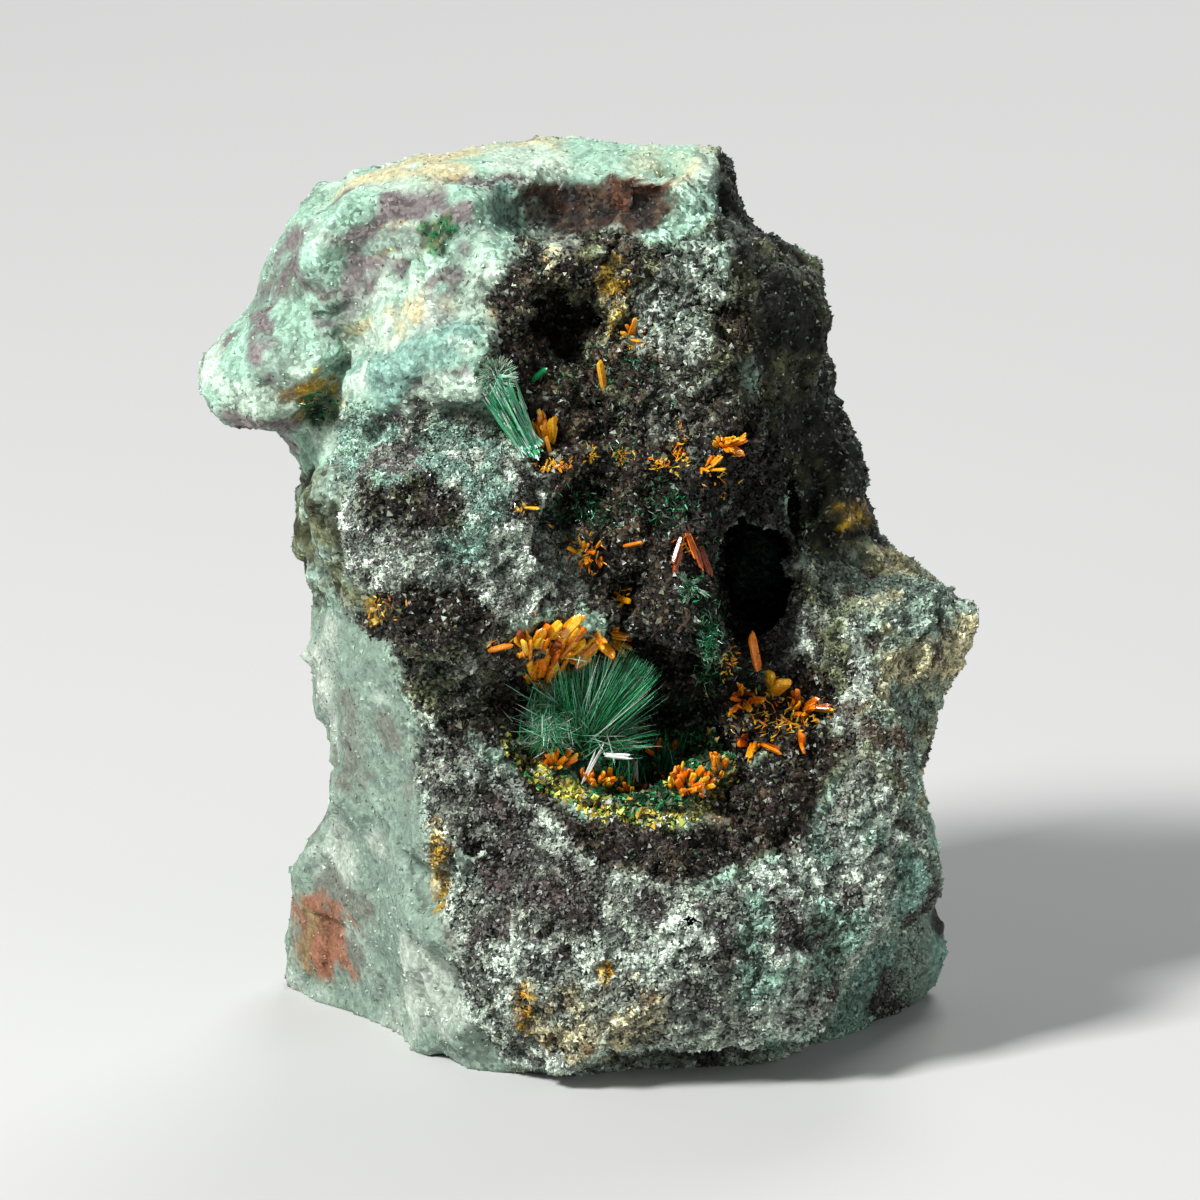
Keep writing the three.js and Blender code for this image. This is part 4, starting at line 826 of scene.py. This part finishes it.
def picked_tones(names, shares, count, spread=0.25):
    """A colour for each of `count` grains, from named colours in those shares."""
    palette = np.array([linear(name) for name in names])
    chosen = palette[rng.choice(len(names), count, p=np.array(shares) / sum(shares))]
    return np.clip(chosen * rng.uniform(1 - spread, 1 + spread, (count, 1)), 0, 1)


def unit(vectors):
    return vectors / np.linalg.norm(vectors, axis=-1, keepdims=True)


# Cross-section of a crystal with bevelled edges, in half widths, and its rings from root to tip:
# share of the width, share of the thickness and share of the length.
LATH = [(0.5, 0.2), (0.36, 0.5), (-0.36, 0.5), (-0.5, 0.2), (-0.5, -0.2), (-0.36, -0.5),
        (0.36, -0.5), (0.5, -0.2)]
LATH_RINGS = [(0.7, 0.7, 0), (0.95, 1, 0.15), (1, 1, 0.8), (0.9, 0.8, 0.93), (0.6, 0.25, 1)]
NEEDLE = [(0.5, 0), (0, 0.5), (-0.5, 0), (0, -0.5)]
NEEDLE_RINGS = [(1, 1, 0), (0.85, 0.85, 0.55), (0.12, 0.12, 1)]
BLUNT_RINGS = [(0.8, 0.8, 0), (1, 1, 0.4), (0.9, 0.9, 0.88), (0.5, 0.5, 1)]
FLATNESS = 0.55  # thickness of a flat crystal as a share of its width
SLANT = 0.18  # how much its end slants at most


def crystal_arrays(roots, tips, width, thickness, spin, section, rings, slant=None):
    """Crystals from root to tip: points and four-sided faces, with their ends closed."""
    count, sides = len(roots), len(section)
    along = tips - roots
    length = np.linalg.norm(along, axis=1)
    axis = along / length[:, None]
    helper = np.where(np.abs(axis[:, 2:3]) < 0.9, (0.0, 0.0, 1.0), (1.0, 0.0, 0.0))
    side = unit(np.cross(axis, helper))
    other = np.cross(axis, side)
    cos, sin = np.cos(spin)[:, None], np.sin(spin)[:, None]
    side, other = side * cos + other * sin, other * cos - side * sin
    slant = np.zeros(count) if slant is None else slant
    levels = []
    for wide, thick, share in rings:
        for px, py in section:
            rise = share + (slant * px if share > 0.5 else 0)
            levels.append(roots + side * (px * wide * width)[:, None]
                          + other * (py * thick * thickness)[:, None]
                          + axis * (rise * length)[:, None])
    points = np.stack(levels, axis=1)
    faces = []
    for ring in range(len(rings) - 1):
        for i in range(sides):
            j = (i + 1) % sides
            faces.append((ring * sides + i, ring * sides + j,
                          (ring + 1) * sides + j, (ring + 1) * sides + i))
    top = (len(rings) - 1) * sides
    for i in range(0, sides - 2, 2):
        faces.append((top, top + i + 1, top + i + 2, top + (i + 3) % sides))
        faces.append((0, (i + 3) % sides, i + 2, i + 1))
    faces = np.array(faces)[None] + len(rings) * sides * np.arange(count)[:, None, None]
    return points.reshape(-1, 3), faces.reshape(-1, 4)


def tree_of(name):
    points, triangles = node_arrays(name)
    return BVHTree.FromPolygons(points.tolist(), triangles.tolist())


rock_tree, crust_tree = tree_of("matrix"), tree_of("pocket_crust")


def on_rock(x, height, crusted=False):
    """Where the line of sight at x and a seen height first meets the rock, or the crust on it."""
    start = Vector(np.array((x, FRONT_FOOT_Y, height)) + OUTLINE_ORIGIN + 60 * TOWARDS)
    trees = (rock_tree, crust_tree) if crusted else (rock_tree,)
    hits = [tree.ray_cast(start, Vector(-TOWARDS)) for tree in trees]
    hits = [(distance, np.array(place)) for place, _, _, distance in hits if place]
    return min(hits, key=lambda hit: hit[0])[1] if hits else None


def scatter(i, j, k, which):
    """The part's own chance: a number from 0 to 1 for whole numbers, always the same."""
    mixed = math.sin(i * 127.1 + j * 311.7 + k * 74.7 + which * 53.3) * 43758.5453
    return mixed - math.floor(mixed)


def cluster_rows(cluster):
    """Roots, tips, widths and spins: each of the part's crystals as a few thinner ones."""
    rows = []
    count, seed = cluster.count, cluster.seed
    split = cluster.split or (3 if count > 2 else 1)
    slim = 1 if split == 1 else 0.7
    for i in range(count):
        radius = math.sqrt((i + 0.5) / count)
        angle = i * GOLDEN_ANGLE + seed
        px, py = radius * math.cos(angle), radius * math.sin(angle)
        base = on_rock(cluster.at[0] + px * cluster.patch[0],
                       cluster.at[1] + py * cluster.patch[1], cluster.crusted)
        stray = [WANDER * (scatter(i, seed, 3, which) - 0.5) for which in (0, 1)]
        toward = unit(RIGHT * (px * cluster.fan + cluster.lean[0] + stray[0])
                      + UP * (py * cluster.fan + cluster.lean[1] + stray[1])
                      + TOWARDS * cluster.out)
        reach = cluster.length * (0.8 + 0.4 * scatter(i, seed, 5, 2))
        for part in range(split):
            aside = rng.normal(0, 0.32, 3) * cluster.width * (part > 0)
            way = unit(toward + rng.normal(0, 0.16, 3) * (part > 0))
            share = 1 if part == 0 else rng.uniform(0.55, 1)
            rows.append((*(base + aside - way * ROOT_DEPTH * cluster.length),
                         *(base + aside + way * reach * share),
                         cluster.width * rng.uniform(0.8, 1.1) * slim * (0.75 if part else 1),
                         2 * math.pi * scatter(i, seed, 7, 3) + part))
    rows = np.array(rows)
    return rows[:, 0:3], rows[:, 3:6], rows[:, 6], rows[:, 7]


def sheaf_rows(sheaf, width):
    """Roots, tips and widths of needles that leave one root in a spread of directions."""
    root = on_rock(*sheaf.at, sheaf.crusted)
    root = root + sheaf.offset @ np.array((RIGHT, UP, TOWARDS))
    roots, tips = [], []
    for bundle in sheaf.bundles:
        count = bundle.count
        clumps = bundle.clumps or count
        clump = rng.integers(0, clumps, count)
        turn = rng.uniform(*bundle.turn, clumps)[clump] + rng.normal(0, 2, count)
        turn = np.radians(turn)
        out = rng.uniform(*bundle.out, clumps)[clump] + rng.normal(0, 0.04, count)
        direction = (RIGHT * np.cos(turn)[:, None] + UP * np.sin(turn)[:, None]
                     + TOWARDS * out[:, None])
        aside = rng.uniform(-1, 1, (count, 2)) * bundle.spread
        start = root + RIGHT * aside[:, :1] + UP * aside[:, 1:]
        reach = bundle.length * rng.uniform(bundle.even, 1.06, count)[:, None]
        roots.append(start - 0.3 * unit(direction))
        tips.append(start + direction * reach)
    roots, tips = np.vstack(roots), np.vstack(tips)
    return roots, tips, rng.uniform(*width, len(roots))


def joined(parts):
    """The rows of several clusters or sheaves as those of one."""
    return tuple(np.concatenate(rows) for rows in zip(*parts))


def shaded(tones, section, rings, root_light, tip_light):
    """The colours of crystals at all their points, changing in light from root to tip."""
    light = np.array([root_light + (tip_light - root_light) * share for _, _, share in rings])
    whole = tones[:, None, None] * light[None, :, None, None]
    return np.clip(np.repeat(whole, len(section), 2), 0, 1).reshape(-1, 3)


def needle_piece(name, sheaves, width, tones, shares, material, nodes=(), light=(0.3, 1.6),
                 tips_toned=()):
    """A piece of many needles, blunt where their ends have a colour of their own."""
    roots, tips, widths = joined(sheaf_rows(sheaf, width) for sheaf in sheaves)
    count = len(roots)
    spin = rng.uniform(0, math.pi, count)
    rings = BLUNT_RINGS if tips_toned else NEEDLE_RINGS
    points, faces = crystal_arrays(roots, tips, widths, widths, spin, NEEDLE, rings)
    tone = shaded(picked_tones(tones, shares, count), NEEDLE, rings, *light)
    if tips_toned:
        ends = picked_tones(tips_toned, [1] * len(tips_toned), count)
        tone = tone.reshape(count, -1, 3)
        tone[:, -len(NEEDLE):] = ends[:, None]
        tone = tone.reshape(-1, 3)
    add_object(name, points, faces, material, nodes, tone)


def lath_piece(name, rows, tones, shares, material, nodes=(), light=(0.7, 1.2), fine=False):
    """Flat bevelled crystals, or plain four-sided ones where they are too fine for bevels."""
    roots, tips, width, spin = rows
    slant = rng.uniform(-SLANT, SLANT, len(roots))
    section, rings = (NEEDLE, NEEDLE_RINGS) if fine else (LATH, LATH_RINGS)
    points, faces = crystal_arrays(roots, tips, width, width * FLATNESS, spin, section, rings, slant)
    tone = shaded(picked_tones(tones, shares, len(roots)), section, rings, *light)
    add_object(name, points, faces, material, nodes, tone)


def flecks(name, patches, thickness, tones, shares, material):
    """Tiny crystals strewn over patches of the front, each leaning its own way."""
    rows = []
    for at, half, count, length, *stand in patches:
        for _ in range(count):
            px, py = rng.normal(0, 0.55, 2)
            base = on_rock(at[0] + px * half[0], at[1] + py * half[1])
            if base is None:
                continue
            if stand:
                base = base + TOWARDS * rng.uniform(*stand[0])
            lean = rng.normal(0, 0.9, 2)
            toward = unit(RIGHT * lean[0] + UP * lean[1] + TOWARDS * 0.8)
            reach = length * rng.uniform(0.7, 1.7)
            rows.append((*(base - toward * 0.3 * reach), *(base + toward * reach),
                         thickness * rng.uniform(0.7, 1.5), rng.uniform(0, 3)))
    rows = np.array(rows)
    lath_piece(name, (rows[:, 0:3], rows[:, 3:6], rows[:, 6], rows[:, 7]), tones, shares,
               material, fine=True)


def make_rock(material):
    """The rock with its fine breaks, druse and sand, and what the grains need to know of it."""
    points, faces = remeshed("matrix", ROCK_VOXEL)
    normal = normals_of(points, faces)
    shares = zone_shares(points, normal)
    points = points + normal * rock_displacement(points, shares)[:, None]
    points[:, 2] = np.maximum(points[:, 2], 0.002)
    fine_normal = normals_of(points, faces)
    dip = ((points - smoothed(points, faces, 3)) * fine_normal).sum(-1)
    tone, speck = rock_colour(points, shares, dip)
    add_object("rock", points, faces, material, ("matrix",), tone, speck, smooth=True)
    return points, faces, fine_normal, shares, tone


def strewn(name, rock, weight, count, middle, lift, names, shares, blend, material):
    """Tiny grains over the rock, part in their own colours and part in the rock's."""
    points, faces, normal, zones, tone = rock
    # Grains are made darker in the recess, the pocket and the column: painted shade.
    shade = 1 - 0.75 * np.maximum(zones["recess"], zones["pocket"]) - 0.35 * zones["column"]
    place, up, vertex = sample_surface(points, faces, normal, weight, count)
    size = np.minimum(rng.lognormal(math.log(middle), GRAIN_SPREAD, count), 1.6 * middle)
    grains, grain_faces = grain_arrays(place, up, size, lift)
    own = tone[vertex] * rng.uniform(0.3, 2.2, (count, 1))
    colours = picked_tones(names, shares, count, 0.5) * (1 - blend) + own * blend
    colours = np.clip(colours * shade.clip(0.2, 1)[vertex, None], 0, 1)
    add_object(name, grains, grain_faces, material, (), np.repeat(colours, 4, 0))


def make_grains(rock, material):
    points, _, _, shares, _ = rock
    drusy, sandy = kinds(shares)
    block = np.clip(sum(shares[name] for name in BLOCK), 0, 1) * (1 - drusy)
    smooth = np.clip(1 - drusy - sandy, 0, 1)
    sandy = sandy * (1 - 0.85 * shares["upper right"])
    weights = (drusy, sandy * (1 - 0.9 * block), block, smooth, rim_share(points))
    for (name, *grains), weight in zip(GRAINS, weights):
        strewn(name, rock, weight, *grains, material)


def rim_share(points):
    """How far each point belongs to the crust's yellow rim, from 0 to 1."""
    nearest = path_distance(RIM, *seen(points))
    return smoothstep(0.5, 0.25, nearest + 0.25 * noise(points, 0.8, 310, 2)) * (points[:, 1] < 2)


def make_crust(material):
    """The crust on the pocket's floor and rim, with the grains that it is made of."""
    points, faces = remeshed("pocket_crust", CRUST_VOXEL)
    normal = normals_of(points, faces)
    near, _, _ = chips(points, 0.5, 300)
    points = points + normal * (0.16 * (0.4 - near) - 0.03)[:, None]
    normal = normals_of(points, faces)
    rimmed = rim_share(points)[:, None]
    tone = blended(("deep_green", "olive", "malachite"), points, 0.5, 320) * (1 - rimmed)
    tone = tone + blended(("olive", "moss", "ochre"), points, 0.45, 330) * rimmed
    add_object("crust", points, faces, material, ("pocket_crust",), tone)
    everywhere = np.ones(len(points))
    place, up, vertex = sample_surface(points, faces, normal, everywhere, CRUST_GRAINS)
    size = rng.lognormal(math.log(0.075), GRAIN_SPREAD, len(place))
    grains, grain_faces = grain_arrays(place, up, size, 0.4)
    rim = picked_tones(RIM_TONES, RIM_SHARES, len(place), 0.4)
    floor = picked_tones(RIM_TONES, FLOOR_SHARES, len(place), 0.3)
    clump = 0.3 + 1.1 * smoothstep(-0.3, 0.4, noise(place, 0.4, 340, 2))[:, None]
    colours = np.clip(rim * clump, 0, 1) * rimmed[vertex] + floor * (1 - rimmed[vertex])
    add_object("crust_grains", grains, grain_faces, material, (), np.repeat(colours, 4, 0))


def make_malachite(material, white):
    needle_piece("spray_needles", [SPRAY], (0.028, 0.06), GREENS, (38, 38, 18, 6), material,
                 ("malachite_spray",), (0.12, 1.9))
    needle_piece("spray_glints", [SPRAY_GLINTS], (0.022, 0.04), ("mint", "frost", "emerald"),
                 (45, 20, 35), material, (), (0.1, 1.3))
    needle_piece("fan_needles", [FAN, FAN_MIDDLE], (0.06, 0.14),
                 ("teal", "emerald", "mint", "frost", "deep_green"), (22, 26, 18, 10, 24), material,
                 ("malachite_fan",), (1.3, 1.3), ("frost", "mint", "teal"))
    needle_piece("fan_head", [FAN_HEAD], (0.045, 0.08), ("moss", "ash", "mint", "slate"),
                 (22, 40, 20, 18), material, (), (0.35, 1.5))
    needle_piece("pocket_needles", POCKET_NEEDLES, (0.04, 0.08), GREENS, (40, 30, 26, 4), material)
    flecks("spray_tangle", TANGLE, 0.036, ("moss", "malachite", "emerald", "mint", "frost"),
           (10, 28, 26, 22, 14), material)
    roots, tips, widths = joined(sheaf_rows(sheaf, (0.07, 0.11)) for sheaf in WHITE_BLADES)
    lath_piece("white_blades", (roots, tips, widths, rng.uniform(0, 3, len(roots))),
               ("frost", "mint"), (90, 10), white, (), (1.1, 1.4))
    for cluster in MALACHITE:
        names = ("moss", "mint", "ash", "malachite") if cluster.fine else GREENS
        lath_piece(cluster.name + "_crystals", cluster_rows(cluster), names, cluster.shares,
                   material, (cluster.name,), (0.5, 1.2), cluster.fine)
    flecks("green_flecks", GREEN_FLECKS, 0.05, GREENS, (32, 52, 12, 5), material)


def make_kasolite(material):
    for cluster in KASOLITE:
        lath_piece(cluster.name + "_crystals", cluster_rows(cluster), AMBERS, cluster.shares,
                   material, (cluster.name,))
    rows = joined(cluster_rows(cluster) for cluster in POCKET_BLADES)
    lath_piece("pocket_blades", rows, AMBERS, (38, 26, 26, 10), material)
    flecks("yellow_flecks", FLECKS, 0.085, ("honey", "yellow", "amber", "orange"),
           (34, 32, 24, 10), material)


def make_studio():
    """A pale floor, soft light from the upper left and a camera at the photograph's angle."""
    half = 3.0
    mesh = bpy.data.meshes.new("floor")
    corners = [(-half, -half, 0), (half, -half, 0), (half, half, 0), (-half, half, 0)]
    mesh.from_pydata(corners, [], [(0, 1, 2, 3)])
    looks = Looks("floor")
    looks.fixed("Base Color", (0.52, 0.52, 0.51, 1))
    looks.fixed("Roughness", 0.8)
    mesh.materials.append(looks.material)
    floor = bpy.data.objects.new("floor", mesh)
    bpy.context.scene.collection.objects.link(floor)

    world = bpy.data.worlds.new("studio")
    world.use_nodes = True
    sky = world.node_tree.nodes["Background"]
    sky.inputs["Color"].default_value = (0.9, 0.95, 1, 1)
    sky.inputs["Strength"].default_value = 0.2
    bpy.context.scene.world = world
    bpy.context.scene.view_settings.view_transform = "Standard"

    middle = Vector((0, 0, 0.019))
    # Name, place and width in metres, and power in watts.
    lights = [("key", (-0.26, -0.22, 0.34), 0.1, 3.7), ("fill", (0.34, -0.3, 0.16), 0.3, 0.35),
              ("rim", (0.1, 0.34, 0.3), 0.2, 0.9)]
    for name, at, width, power in lights:
        data = bpy.data.lights.new(name, "AREA")
        data.size = width
        data.energy = power
        light = bpy.data.objects.new(name, data)
        light.location = at
        light.rotation_euler = (middle - Vector(at)).to_track_quat("-Z", "Y").to_euler()
        bpy.context.scene.collection.objects.link(light)

    distance = 500.0
    frame_width = 49.2
    target = np.array((0.9, -5.0, 19.2)) + OUTLINE_ORIGIN
    data = bpy.data.cameras.new("camera")
    data.sensor_width = 36
    data.lens = data.sensor_width * distance / frame_width
    camera = bpy.data.objects.new("camera", data)
    camera.location = (target + TOWARDS * distance) * MM
    camera.rotation_euler = (math.pi / 2 - VIEW_TILT, 0, 0)
    bpy.context.scene.collection.objects.link(camera)
    bpy.context.scene.camera = camera


rock = make_rock(rock_material())
make_grains(rock, speckled_material("grains", (0.18, 0.75), 0.02, 0.2, 4.0))
make_crust(speckled_material("crust", (0.2, 0.7), 0.03, 0.25, 5.0))
make_malachite(crystal_material("malachite", (0.16, 0.32), 0.0, 1.8, 0.2),
               crystal_material("white_blades", (0.1, 0.25), 0.15, 1.6, 0.1))
make_kasolite(crystal_material("kasolite", (0.14, 0.32), 0.15, 1.7, 0.2, 0.35))
make_studio()
